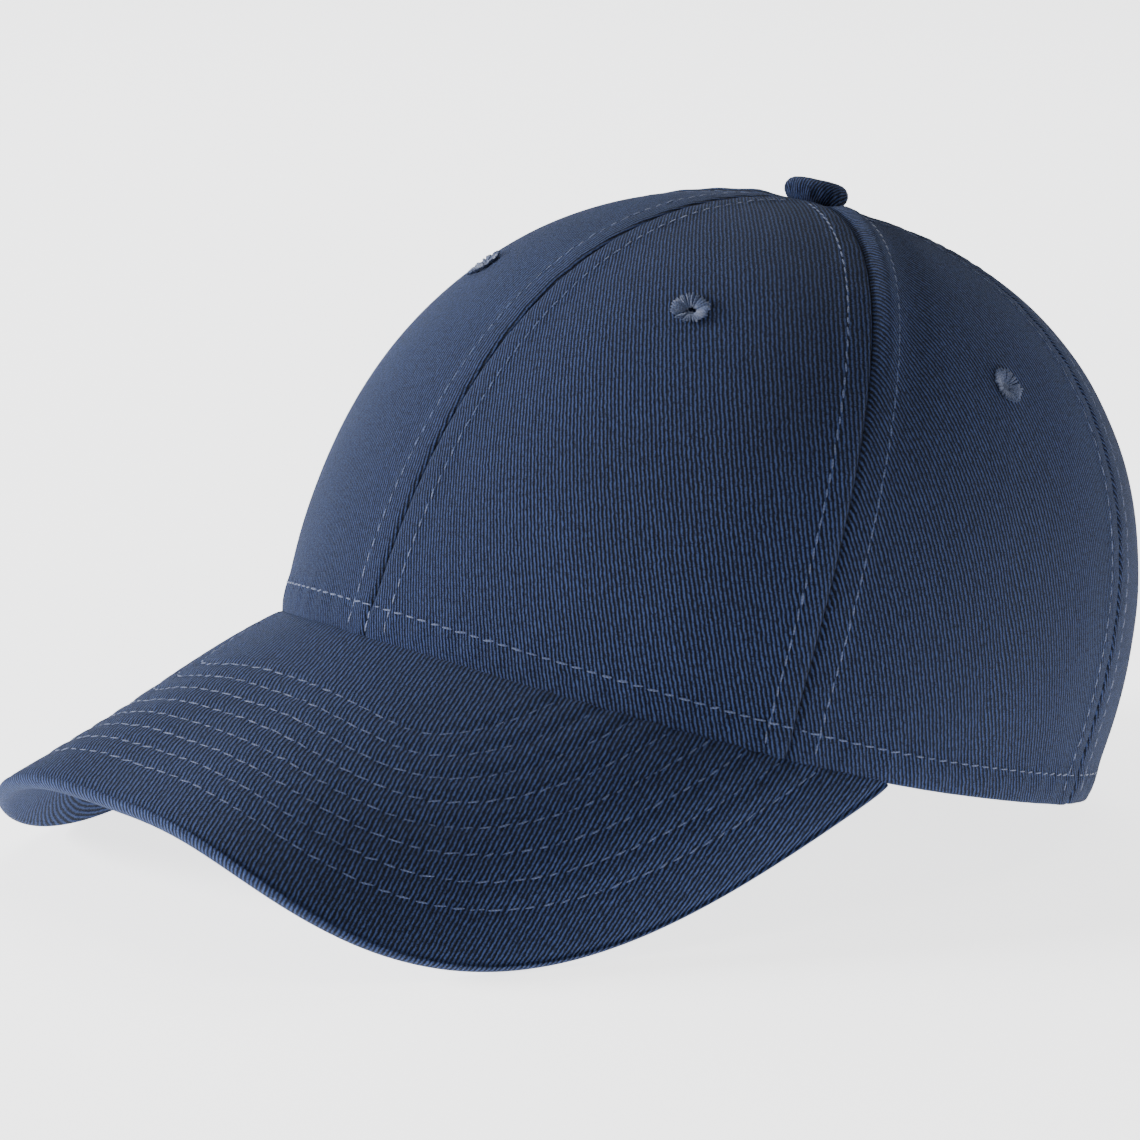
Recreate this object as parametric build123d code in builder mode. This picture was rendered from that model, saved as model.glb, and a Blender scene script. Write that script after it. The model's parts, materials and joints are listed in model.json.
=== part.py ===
"""Six-panel baseball cap with a pre-curved visor and an adjustable back strap.

The crown is described in the cap's own upright frame: rim plane level, front at -Y, the
wearer's left at +X. Every piece is then laid back by the rest pitch, so that the finished
cap stands on its back rim and on the two low sides of the visor, as it does on a table.
"""
from build123d import *
from math import atan2, cos, degrees, pi, radians, sin
import os

os.makedirs("parts", exist_ok=True)

# ---------------------------------------------------------------- driving dimensions (mm)
# crown
half_width = 88.0            # centre to side at the rim
front_length = 102.2         # centre to front at the rim
back_length = 97.4           # centre to back at the rim
crown_height = 118.4         # rim to the shoulder of the top
peak_height = 2.6            # soft point that the six tips make under the button
top_shift = 5.8              # how far the apex lies behind the centre
top_shift_power = 1.6
wall_power = {"front": 2.28, "side": 2.6, "back": 2.53}     # roundness of the profiles
wall_bulge = {"front": -0.012, "side": 0.044, "back": 0.039}
plan_power = {"front": 1.95, "back": 2.155}                 # roundness of the rim in plan
front_rise = 6.8             # the rim lifts this much over the visor
panel_tip = 0.985            # share of the rise where the panel tips end
# seams, as azimuth from the front, at the rim and the change towards the top
front_seam = (62.9, 3.9)
back_seam = (116.3, 0.8)
seam_gap = 0.15
# layers, as depth inside the outer face of the cloth
cloth = 0.8
buckram_depth, buckram_thickness = 1.0, 0.7
front_tape_depth, rear_tape_depth, tape_thickness, tape_width = 1.9, 1.0, 0.5, 18.0
backing_low, backing_top = 1.0, 0.96       # height above the rim and share of the rise
tape_foot, tape_top = 3.0, 0.90            # height above the rim and share of the rise
tape_low, centre_back_tape_low = 0.03, 0.44     # least rise; the centre tape starts above the arch
lining_depth, lining_thickness = 4.6, 0.6
sweatband_depth, sweatband_thickness, sweatband_height = 5.4, 0.6, 33.0
label_depth, label_thickness, label_width, label_height = 6.2, 0.3, 30.0, 16.0
# eyelets
eyelet_rise = {"front": 0.519, "side": 0.483, "back": 0.50}
eyelet_radius, eyelet_hole, eyelet_sleeve = 4.7, 1.5, 2.3
eyelet_proud = 0.6
eyelet_root, eyelet_lift = 2.0, 0.05       # how deep its sleeve reaches, and its rim's clearance
# button on the apex
button_radius, button_height, button_cloth = 7.3, 5.2, 0.7
rivet_radius, washer_radius, washer_thickness = 1.4, 6.0, 0.8
# visor
visor_corner = 77.66         # azimuth of the corners on the rim
visor_reach = 62.4           # how far the tip stands in front of the rim
visor_tip_drop = 33.9        # how far the tip lies below the rim plane
visor_side_drop = 25.7       # extra drop of the two low sides
visor_side_power = 0.89
visor_flare = 3.1
visor_x_power, visor_y_power = 0.54, 1.40
visor_crown, visor_shoulder = 1.0, 5.5   # how far the blade arches between rim and edge
visor_cloth, board_thickness, visor_gap = 0.8, 2.0, 0.2
visor_end = 0.985            # share of the half width where the blade's corners are cut
# arch and strap at the back
arch_half_width, arch_height = 31.0, 48.0
facing_width, facing_low = 8.0, 23.0       # tape round the arch, above the strap's ends
strap_centre = 9.2           # the strap's arc is centred this far behind the crown's centre
strap_radius = 90.0          # outer face of the crown about that centre, 12 mm above the rim
strap_lean = 0.09            # the back wall leans out, going up
strap_low, strap_high = 4.5, 22.1
strap_depth, strap_thickness = 2.4, 1.1
strap_left_end, strap_right_end = 58.0, -46.0    # arc lengths from the back centre
# clasp on the strap, on the wearer's right of the opening
clasp_arc = -17.0            # arc length from the back centre to the clasp's middle
frame_length, frame_height, frame_thickness = 20.0, 23.0, 1.0
frame_corner, frame_side_gap = 1.5, 1.0    # corner radius, and play beside the strap
bar_slot = 4.2               # slot for the tab's loop
bridge_gap = 0.4             # between the strap and the bridge behind it
pin_inset, bar_inset = 1.8, 1.6            # pin and bar, from the frame's ends
frame_top = -1.0             # outer face of the frame, from the crown's outer face
window_length, window_height = 10.0, 14.0
bridge_width, bridge_thickness = 4.0, 1.0
pin_radius, pin_clearance, knuckle_radius = 0.7, 0.06, 1.5
pin_rise = 0.8               # pin axis, from the crown's outer face
ear_width, ear_thickness = 2.6, 1.6
lever_length, lever_height, lever_thickness = 13.5, 17.0, 1.0
bar_radius = 0.8
tab_thickness, tab_height, tab_length = 0.8, 17.0, 17.0
tab_depth = 1.0              # outer face of the tab, inside the crown's outer face

# ---------------------------------------------------------------- shape of the crown


def blend_by_azimuth(values, azimuth):
    """Mix front, side and back values round the crown."""
    along = cos(radians(azimuth))
    across = sin(radians(azimuth)) ** 2
    end = values["front"] if along > 0 else values["back"]
    return end * along**2 + values["side"] * across


def signed_power(value, power):
    return abs(value) ** power * (1 if value >= 0 else -1)


def crown_skin(azimuth, rise):
    """Point on the outer face: azimuth from the front towards the wearer's left, rise 0 to 1."""
    power = blend_by_azimuth(wall_power, azimuth)
    radius = cos(rise * pi / 2) ** (2 / power)
    height = sin(rise * pi / 2) ** (2 / power)
    wide = radius * (1 + blend_by_azimuth(wall_bulge, azimuth) * sin(pi * height))
    along, across = cos(radians(azimuth)), sin(radians(azimuth))
    half = "front" if along > 0 else "back"
    length = front_length if along > 0 else back_length
    plan = 2 / plan_power[half]
    x = half_width * signed_power(across, plan) * wide
    y = -length * signed_power(along, plan) * wide + top_shift * height**top_shift_power
    z = crown_height * height + peak_height * (1 - radius) ** 3
    return Vector(x, y, z)


def rise_at(azimuth, height):
    """Rise of the point that lies this high above the rim plane."""
    low, high = 0.0, 1.0
    for _ in range(40):
        middle = (low + high) / 2
        if crown_skin(azimuth, middle).Z < height:
            low = middle
        else:
            high = middle
    return (low + high) / 2


def rim_height(azimuth):
    return front_rise * max(0.0, cos(radians(azimuth))) ** 2


def seam_azimuth(seam, rise):
    return seam[0] + seam[1] * rise


# ---------------------------------------------------------------- shape of the visor


def visor_edge(share):
    """Outer edge of the blade, from the right corner (-1) over the tip (0) to the left (1)."""
    corner = crown_skin(visor_corner, rise_at(visor_corner, rim_height(visor_corner)))
    turn = abs(share) * pi / 2
    across, along = sin(turn), max(0.0, cos(turn))
    low = sin(2 * turn) ** 2
    x = corner.X * across**visor_x_power + visor_flare * low
    tip = -front_length - visor_reach
    y = corner.Y + (tip - corner.Y) * along**visor_y_power
    z = corner.Z * across - visor_tip_drop * along - visor_side_drop * low**visor_side_power
    return Vector(x if share >= 0 else -x, y, z)


def visor_skin(share, reach):
    """Point on the blade's upper face: reach 0 at the rim, 1 at the outer edge."""
    azimuth = share * visor_corner
    root = crown_skin(azimuth, rise_at(azimuth, rim_height(azimuth)))
    edge = visor_edge(share)
    turn = share * pi / 2
    arch = (visor_crown * cos(turn) ** 2 + visor_shoulder * sin(2 * turn) ** 2) * 4 * reach
    lift = Vector(0.6 * sin(turn), -0.3, 0.75) * arch * (1 - reach)
    return root + (edge - root) * reach + lift


# ---------------------------------------------------------------- layers and placing


def inside(skin, first, second, depth, side=1):
    """Point this deep under a skin, measured square to it."""
    step = 1e-4
    along = skin(first + step * 50, second) - skin(first - step * 50, second)
    up = skin(first, second + step) - skin(first, max(0.0, second - step))
    return skin(first, second) - along.cross(up).normalized() * depth * side


def blade_point(share, reach, depth):
    """Point this deep under the blade's upper face, kept in the flat section at this share."""
    surface = visor_skin(share, reach)
    square = surface - inside(visor_skin, share, reach, 1.0, -1)
    root, edge, crest = visor_skin(share, 0), visor_skin(share, 1), visor_skin(share, 0.5)
    across = (edge - root).cross(crest - root).normalized()
    level = square - across * square.dot(across)
    return surface - level * (depth / level.length**2)


blade_thickness = 2 * visor_cloth + board_thickness + 2 * visor_gap
low_points = [blade_point(0.02 * k, 0.99, blade_thickness) for k in range(10, 40)]
low_points += [visor_edge(0.02 * k) for k in range(10, 40)]
arch_azimuth = 180 - degrees(arch_half_width / strap_radius)
back_rim = crown_skin(arch_azimuth, 0)
rest_pitch = max(atan2(-point.Z, back_rim.Y - point.Y) for point in low_points)


def lay_back(vector):
    """Turn a direction from the cap's upright frame to the rest attitude."""
    y = vector.Y * cos(rest_pitch) + vector.Z * sin(rest_pitch)
    z = vector.Z * cos(rest_pitch) - vector.Y * sin(rest_pitch)
    return Vector(vector.X, y, z)


tip_y = lay_back(visor_edge(0)).Y
rear_y = max(lay_back(crown_skin(180, 0.02 * k)).Y for k in range(30))
ground = Vector(0, -(tip_y + rear_y) / 2, -lay_back(back_rim).Z)


def place(point):
    return lay_back(point) + ground


def cap_plane(point, x_direction, z_direction):
    """A plane given in the upright frame, put where the finished cap has it."""
    return Plane(place(point), x_dir=lay_back(x_direction), z_dir=lay_back(z_direction))


def crown_face(columns, depth):
    """Smooth face through columns of (azimuth, rise), this deep inside the crown."""
    rows = [[place(inside(crown_skin, a, r, depth)) for a, r in column] for column in columns]
    return Face.make_surface_from_array_of_points(rows, tol=0.01)


def inward(azimuth, rise):
    depth_vector = inside(crown_skin, azimuth, rise, 1.0) - crown_skin(azimuth, rise)
    return lay_back(depth_vector)


def panel_columns(first_seam, second_seam, low, top=panel_tip, count=9, rises=15):
    """Columns from one seam to the next; low gives the starting height above the rim."""
    columns = []
    for i in range(count):
        share = i / (count - 1)
        column = []
        for j in range(rises):
            start_azimuth = first_seam[0] * (1 - share) + second_seam[0] * share
            start = rise_at(start_azimuth, rim_height(start_azimuth) + low)
            rise = start + (top - start) * (1 - (1 - j / (rises - 1)) ** 1.3)
            first, second = seam_azimuth(first_seam, rise), seam_azimuth(second_seam, rise)
            middle = crown_skin((first + second) / 2, rise)
            radius = Vector(middle.X, middle.Y - top_shift, 0).length
            gap = degrees(seam_gap / radius)
            first, second = first + gap, second - gap
            column.append((first * (1 - share) + second * share, rise))
        columns.append(column)
    return columns


def strip_columns(seam, low, high, width, rises=15):
    """Columns of a tape of constant width along a seam."""
    columns = []
    for side in (-1, -0.5, 0, 0.5, 1):
        column = []
        for j in range(rises):
            rise = low + (high - low) * j / (rises - 1)
            middle = seam_azimuth(seam, rise)
            centre = crown_skin(middle, rise)
            radius = Vector(centre.X, centre.Y - top_shift, 0).length
            column.append((middle + side * degrees(width / 2 / radius), rise))
        columns.append(column)
    return columns


def band_columns(first, last, low, high, count=49, rises=4):
    """Columns of a level band: low and high are heights above the rim."""
    columns = []
    for i in range(count):
        azimuth = first + (last - first) * i / (count - 1)
        rim = rim_height(azimuth)
        heights = [rim + low + (high - low) * j / (rises - 1) for j in range(rises)]
        columns.append([(azimuth, rise_at(azimuth, height)) for height in heights])
    return columns


def eyelet_plane(azimuth, rise):
    """Plane on the crown's outer face, its normal pointing outwards."""
    point = crown_skin(azimuth, rise)
    return Plane(place(point), z_dir=-inward(azimuth, rise))


def finish_part(part, name):
    part.label = name
    export_step(part, f"parts/{name}.step")
    size = part.bounding_box().size
    print(f"{name}: {part.volume:.1f} mm3, {size.X:.1f} x {size.Y:.1f} x {size.Z:.1f}")


mirror_seam = {"front": (-front_seam[0], -front_seam[1]), "back": (-back_seam[0], -back_seam[1])}
centre_front, centre_back_left, centre_back_right = (0.0, 0.0), (180.0, 0.0), (-180.0, 0.0)
arch_plane = cap_plane(Vector(0, 40, 0), Vector(-1, 0, 0), Vector(0, 1, 0))

# name: first seam, second seam, azimuth of the eyelet, rise of the eyelet
panels = {
    "front_left_panel": (centre_front, front_seam, "front"),
    "front_right_panel": (mirror_seam["front"], centre_front, "front"),
    "side_left_panel": (front_seam, back_seam, "side"),
    "side_right_panel": (mirror_seam["back"], mirror_seam["front"], "side"),
    "back_left_panel": (back_seam, centre_back_left, "back"),
    "back_right_panel": (centre_back_right, mirror_seam["back"], "back"),
}


def eyelet_place(name):
    first, second, zone = panels[name]
    rise = eyelet_rise[zone]
    return (seam_azimuth(first, rise) + seam_azimuth(second, rise)) / 2, rise


# ---------------------------------------------------------------- crown panels
for name, (first, second, zone) in panels.items():
    azimuth, rise = eyelet_place(name)
    with BuildPart() as panel:
        face = crown_face(panel_columns(first, second, 0.0), 0.0)
        thicken(face, amount=cloth, normal_override=inward(azimuth, rise))
        with BuildSketch(eyelet_plane(azimuth, rise)):
            Circle(eyelet_sleeve + 0.1)
        extrude(amount=5.0, both=True, mode=Mode.SUBTRACT)
        if zone == "back":
            with BuildSketch(arch_plane):
                with Locations((0, arch_height - arch_half_width)):
                    Circle(arch_half_width)
                with Locations((0, (arch_height - arch_half_width) / 2 - 5)):
                    Rectangle(2 * arch_half_width, arch_height - arch_half_width + 10)
            extrude(amount=90.0, mode=Mode.SUBTRACT)
    finish_part(panel.part, name)

# ---------------------------------------------------------------- front backing (buckram)
for name in ("front_left", "front_right"):
    first, second, zone = panels[f"{name}_panel"]
    azimuth, rise = eyelet_place(f"{name}_panel")
    with BuildPart() as backing:
        face = crown_face(panel_columns(first, second, backing_low, backing_top), buckram_depth)
        thicken(face, amount=buckram_thickness, normal_override=inward(azimuth, rise))
        with BuildSketch(eyelet_plane(azimuth, rise)):
            Circle(eyelet_sleeve + 0.1)
        extrude(amount=5.0, both=True, mode=Mode.SUBTRACT)
    finish_part(backing.part, f"{name}_buckram")

# ---------------------------------------------------------------- embroidered eyelets
for name in panels:
    azimuth, rise = eyelet_place(name)
    plane = eyelet_plane(azimuth, rise)
    with BuildPart() as eyelet:
        with BuildSketch(plane.offset(-eyelet_root)):
            Circle(eyelet_sleeve)
        extrude(amount=eyelet_root + 2 * eyelet_lift)
        with BuildSketch(plane.offset(eyelet_lift)):
            Circle(eyelet_radius)
        extrude(amount=eyelet_proud)
        rim_edges = eyelet.edges().filter_by(GeomType.CIRCLE).group_by(SortBy.RADIUS)[-1]
        fillet(rim_edges, eyelet_proud * 0.45)
        with BuildSketch(plane.offset(-3.0)):
            Circle(eyelet_hole)
        extrude(amount=6.0, mode=Mode.SUBTRACT)
    finish_part(eyelet.part, name.replace("_panel", "_eyelet"))

# ---------------------------------------------------------------- seam tapes inside
tapes = {
    "centre_front_tape": (centre_front, tape_low, front_tape_depth),
    "centre_back_tape": (centre_back_left, centre_back_tape_low, rear_tape_depth),
    "front_left_tape": (front_seam, tape_low, front_tape_depth),
    "front_right_tape": (mirror_seam["front"], tape_low, front_tape_depth),
    "back_left_tape": (back_seam, tape_low, rear_tape_depth),
    "back_right_tape": (mirror_seam["back"], tape_low, rear_tape_depth),
}
for name, (seam, low, depth) in tapes.items():
    low = max(low, rise_at(seam[0], rim_height(seam[0]) + tape_foot))
    with BuildPart() as tape:
        face = crown_face(strip_columns(seam, low, tape_top, tape_width), depth)
        thicken(face, amount=tape_thickness, normal_override=inward(seam[0], (low + tape_top) / 2))
    finish_part(tape.part, name)

# ---------------------------------------------------------------- button on the apex
apex = crown_skin(0, 1.0)
apex_plane = cap_plane(apex, Vector(1, 0, 0), Vector(0, 0, 1))
apex_axis = Axis(place(apex), lay_back(Vector(0, 0, 1)))

with BuildPart() as button_cover:
    with BuildSketch(apex_plane.offset(0.15)):
        Circle(button_radius)
    extrude(amount=button_height)
    fillet(button_cover.faces().sort_by(apex_axis)[-1].edges(), button_height * 0.55)
    opening = button_cover.faces().sort_by(apex_axis)[0]
    offset(amount=-button_cloth, openings=opening)
finish_part(button_cover.part, "button_cover")

core_radius = button_radius - button_cloth - 0.1
core_height = button_height - button_cloth - 0.3
with BuildPart() as button_core:
    with BuildSketch(apex_plane.offset(0.25)):
        Circle(core_radius)
    extrude(amount=core_height)
    fillet(button_core.faces().sort_by(apex_axis)[-1].edges(), button_height * 0.5)
    with BuildSketch(apex_plane.offset(0.25)):
        Circle(rivet_radius)
    extrude(amount=core_height * 0.7, mode=Mode.SUBTRACT)
finish_part(button_core.part, "button_core")

with BuildPart() as button_rivet:
    with BuildSketch(apex_plane.offset(-4.6)):
        Circle(rivet_radius - 0.05)
    extrude(amount=4.6 + core_height * 0.6)
    with BuildSketch(apex_plane.offset(-5.2)):
        Circle(rivet_radius + 1.0)
    extrude(amount=0.7)
finish_part(button_rivet.part, "button_rivet")

with BuildPart() as button_washer:
    with BuildSketch(apex_plane.offset(-4.4)):
        Circle(washer_radius)
        Circle(rivet_radius + 0.1, mode=Mode.SUBTRACT)
    extrude(amount=washer_thickness)
finish_part(button_washer.part, "button_washer")


# ---------------------------------------------------------------- visor
def blade_section(share, near, far, depth, thickness):
    """Closed section of one layer of the blade, from the rim to the outer edge."""
    reaches = [near + (far - near) * k / 6 for k in range(7)]
    upper = [place(blade_point(share, reach, depth)) for reach in reaches]
    lower = [place(blade_point(share, reach, depth + thickness)) for reach in reaches]
    return Wire(
        [
            Edge.make_spline(upper),
            Edge.make_line(upper[-1], lower[-1]),
            Edge.make_spline(lower[::-1]),
            Edge.make_line(lower[0], upper[0]),
        ]
    )


board_depth = visor_cloth + visor_gap
under_depth = board_depth + board_thickness + visor_gap
blade_layers = {
    "visor_top_cover": (0.0, visor_cloth, 0.010, 1.0),
    "visor_board": (board_depth, board_thickness, 0.015, 0.985),
    "visor_under_cover": (under_depth, visor_cloth, 0.015, 0.99),
}
blade_shares = [visor_end * sin(pi / 2 * (k / 12 - 1)) for k in range(25)]
for name, (depth, thickness, near, far) in blade_layers.items():
    with BuildPart() as layer:
        sections = [blade_section(s, near, far, depth, thickness) for s in blade_shares]
        add(Solid.make_loft(sections))
    finish_part(layer.part, name)

# ---------------------------------------------------------------- sweatband and label
band_end = arch_azimuth - 0.6
for name, depth, thickness, low, high in (
    ("sweatband_interlining", lining_depth, lining_thickness, 3.0, sweatband_height - 2),
    ("sweatband", sweatband_depth, sweatband_thickness, 1.0, sweatband_height),
):
    with BuildPart() as band:
        face = crown_face(band_columns(-band_end, band_end, low, high), depth)
        thicken(face, amount=thickness, normal_override=lay_back(Vector(0, 1, 0)))
    finish_part(band.part, name)

label_azimuth = 100.0
label_half = degrees(label_width / 2 / half_width)
label_low = 9.0
with BuildPart() as care_label:
    columns = band_columns(
        label_azimuth - label_half, label_azimuth + label_half, label_low, label_low + label_height, 9
    )
    thicken(
        crown_face(columns, label_depth),
        amount=label_thickness,
        normal_override=inward(label_azimuth, 0.1),
    )
finish_part(care_label.part, "care_label")

# ---------------------------------------------------------------- facing tape round the arch
with BuildPart() as arch_facing:
    face = crown_face(band_columns(180 - 42, 180 + 42, 1.0, 62.0, 17, 13), rear_tape_depth)
    thicken(face, amount=tape_thickness, normal_override=inward(180, 0.2))
    with BuildSketch(arch_plane):
        with Locations((0, arch_height - arch_half_width)):
            Circle(arch_half_width + facing_width)
        with Locations((0, 0)):
            Rectangle(4 * arch_half_width, 2 * facing_low, mode=Mode.SUBTRACT)
    extrude(amount=90.0, mode=Mode.INTERSECT)
    with BuildSketch(arch_plane):
        with Locations((0, arch_height - arch_half_width)):
            Circle(arch_half_width)
        with Locations((0, (arch_height - arch_half_width) / 2 - 5)):
            Rectangle(2 * arch_half_width, arch_height - arch_half_width + 10)
    extrude(amount=90.0, mode=Mode.SUBTRACT)
finish_part(arch_facing.part, "arch_facing")

# ---------------------------------------------------------------- strap
strap_middle = (strap_low + strap_high) / 2
strap_axis = Axis(place(Vector(0, strap_centre, 0)), lay_back(Vector(0, 0, 1)))


def strap_direction(arc):
    """Outward direction at an arc length from the back centre, positive to the wearer's left."""
    angle = arc / strap_radius
    return Vector(sin(angle), cos(angle), 0)


def strap_wall(height):
    return strap_radius + strap_lean * (height - strap_middle)


def band_profile(low, high, outer_depth, thickness, arc):
    """Radial section of a band that leans with the back wall, in the upright frame."""
    out = strap_direction(arc)
    base = Vector(0, strap_centre, 0)
    corners = []
    for height, depth in (
        (low, outer_depth),
        (high, outer_depth),
        (high, outer_depth + thickness),
        (low, outer_depth + thickness),
    ):
        corners.append(place(base + out * (strap_wall(height) - depth) + Vector(0, 0, height)))
    return corners


def profile_face(corners):
    return Face(Wire.make_polygon(corners, close=True))


strap_sweep = degrees((strap_left_end - strap_right_end) / strap_radius)
with BuildPart() as strap:
    profile = profile_face(
        band_profile(strap_low, strap_high, strap_depth, strap_thickness, strap_left_end)
    )
    revolve(profile, axis=strap_axis, revolution_arc=strap_sweep)
finish_part(strap.part, "strap")

# ---------------------------------------------------------------- clasp
clasp_out = strap_direction(clasp_arc)
clasp_normal = Vector(clasp_out.X, clasp_out.Y, -strap_lean).normalized()
clasp_up = Vector(clasp_out.X * strap_lean, clasp_out.Y * strap_lean, 1).normalized()
clasp_side = clasp_up.cross(clasp_normal)
clasp_origin = (
    Vector(0, strap_centre, 0) + clasp_out * strap_radius + Vector(0, 0, strap_middle)
)
# local x runs to the wearer's left, local y down, local z out of the crown
clasp_plane = cap_plane(clasp_origin, -clasp_side, clasp_normal)


def clasp_end_plane(height):
    """Plane square to the pin, this far down the clasp: local x to the left, local y outwards."""
    origin = clasp_plane.from_local_coords(Vector(0, height, 0))
    return Plane(origin, x_dir=clasp_plane.x_dir, z_dir=-clasp_plane.y_dir)


half_frame = frame_length / 2
pin_x = half_frame - pin_inset
bar_x = -half_frame + bar_inset
loop_inner = bar_radius + 0.05
loop_outer = loop_inner + tab_thickness
tab_middle = strap_radius - tab_depth - tab_thickness / 2


def on_band(x, radius):
    """Point of a band that follows the crown, in the plane square to the pin."""
    return Vector(x, (radius**2 - x**2) ** 0.5 - strap_radius)


bar_rise = on_band(bar_x, tab_middle).Y + loop_inner + tab_thickness / 2
strap_inner = -(strap_depth + strap_thickness)
bridge_top = strap_inner - bridge_gap
ear_low = lever_height / 2 + 0.3

with BuildPart() as clasp_frame:
    with BuildSketch(clasp_plane.offset(frame_top - frame_thickness)):
        RectangleRounded(frame_length, frame_height, frame_corner)
        Rectangle(window_length, window_height, mode=Mode.SUBTRACT)
        with Locations((bar_x, 0)):
            Rectangle(bar_slot, tab_height + 1.0, mode=Mode.SUBTRACT)
    extrude(amount=frame_thickness)
    # bridge behind the strap
    leg = (frame_height - (strap_high - strap_low) - frame_side_gap) / 2
    leg_middle = frame_height / 2 - leg / 2
    with BuildSketch(clasp_plane.offset(bridge_top - bridge_thickness)):
        with Locations((0, leg_middle), (0, -leg_middle)):
            Rectangle(bridge_width, leg)
    extrude(amount=frame_top - bridge_top + bridge_thickness)
    with BuildSketch(clasp_plane.offset(bridge_top - bridge_thickness)):
        Rectangle(bridge_width, frame_height)
    extrude(amount=bridge_thickness)
    # ears for the lever's pin and for the tab's bar
    axles = ((pin_x, pin_rise, pin_radius), (bar_x, bar_rise, bar_radius))
    for start in (ear_low, -ear_low - ear_thickness):
        for x, rise, radius in axles:
            foot = rise - frame_top + 0.2
            with BuildSketch(clasp_end_plane(start + ear_thickness)):
                with Locations((x, rise)):
                    Circle(ear_width / 2)
                with Locations((x, rise - foot / 2)):
                    Rectangle(ear_width, foot)
            extrude(amount=ear_thickness)
    for x, rise, radius in axles:
        with BuildSketch(clasp_end_plane(ear_low + ear_thickness)):
            with Locations((x, rise)):
                Circle(radius)
        extrude(amount=2 * (ear_low + ear_thickness), mode=Mode.SUBTRACT)
finish_part(clasp_frame.part, "clasp_frame")

with BuildPart() as lever_pin:
    with BuildSketch(clasp_end_plane(ear_low + ear_thickness)):
        with Locations((pin_x, pin_rise)):
            Circle(pin_radius)
    extrude(amount=2 * (ear_low + ear_thickness))
finish_part(lever_pin.part, "lever_pin")

with BuildPart() as tab_bar:
    with BuildSketch(clasp_end_plane(ear_low + ear_thickness)):
        with Locations((bar_x, bar_rise)):
            Circle(bar_radius)
    extrude(amount=2 * (ear_low + ear_thickness))
finish_part(tab_bar.part, "tab_bar")

with BuildPart() as clasp_lever:
    with BuildSketch(clasp_end_plane(lever_height / 2)):
        with Locations((pin_x, pin_rise)):
            Circle(knuckle_radius)
        with Locations((pin_x - lever_length / 2, pin_rise)):
            Rectangle(lever_length, lever_thickness)
        with Locations((pin_x - lever_length + 0.6, pin_rise + 0.6)):
            Rectangle(1.2, lever_thickness + 1.2)
        with Locations((pin_x, pin_rise)):
            Circle(pin_radius + pin_clearance, mode=Mode.SUBTRACT)
    extrude(amount=lever_height)
finish_part(clasp_lever.part, "clasp_lever")

# ---------------------------------------------------------------- cloth tab that holds the clasp
with BuildPart() as clasp_tab:
    with BuildSketch(clasp_end_plane(tab_height / 2)):
        with Locations((bar_x, bar_rise)):
            Circle(loop_outer)
        with BuildLine():
            stations = (bar_x, bar_x - tab_length / 2, bar_x - tab_length)
            outer = ThreePointArc(*[on_band(x, tab_middle + tab_thickness / 2) for x in stations])
            inner = ThreePointArc(*[on_band(x, tab_middle - tab_thickness / 2) for x in stations])
            Line(outer @ 0, inner @ 0)
            Line(outer @ 1, inner @ 1)
        make_face()
        with Locations((bar_x, bar_rise)):
            Circle(loop_inner, mode=Mode.SUBTRACT)
    extrude(amount=tab_height)
finish_part(clasp_tab.part, "clasp_tab")

print("rest pitch, degrees:", round(degrees(rest_pitch), 3))
print("strap axis:", place(Vector(0, strap_centre, 0)), lay_back(Vector(0, 0, 1)))
pin_point = clasp_plane.from_local_coords(Vector(pin_x, 0, pin_rise))
print("lever pin:", pin_point, clasp_plane.y_dir)
print("rim centre:", place(Vector(0, 0, 0)))
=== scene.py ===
"""Looks of a six-panel baseball cap: cloth, thread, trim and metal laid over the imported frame."""
import json
from math import asin, atan2, cos, pi, radians, sin

import bmesh
import bpy
import numpy as np
from bpy.props import FloatProperty, FloatVectorProperty, IntProperty, PointerProperty
from bpy.types import Operator, Panel, PropertyGroup
from mathutils import Matrix, Vector

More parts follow.
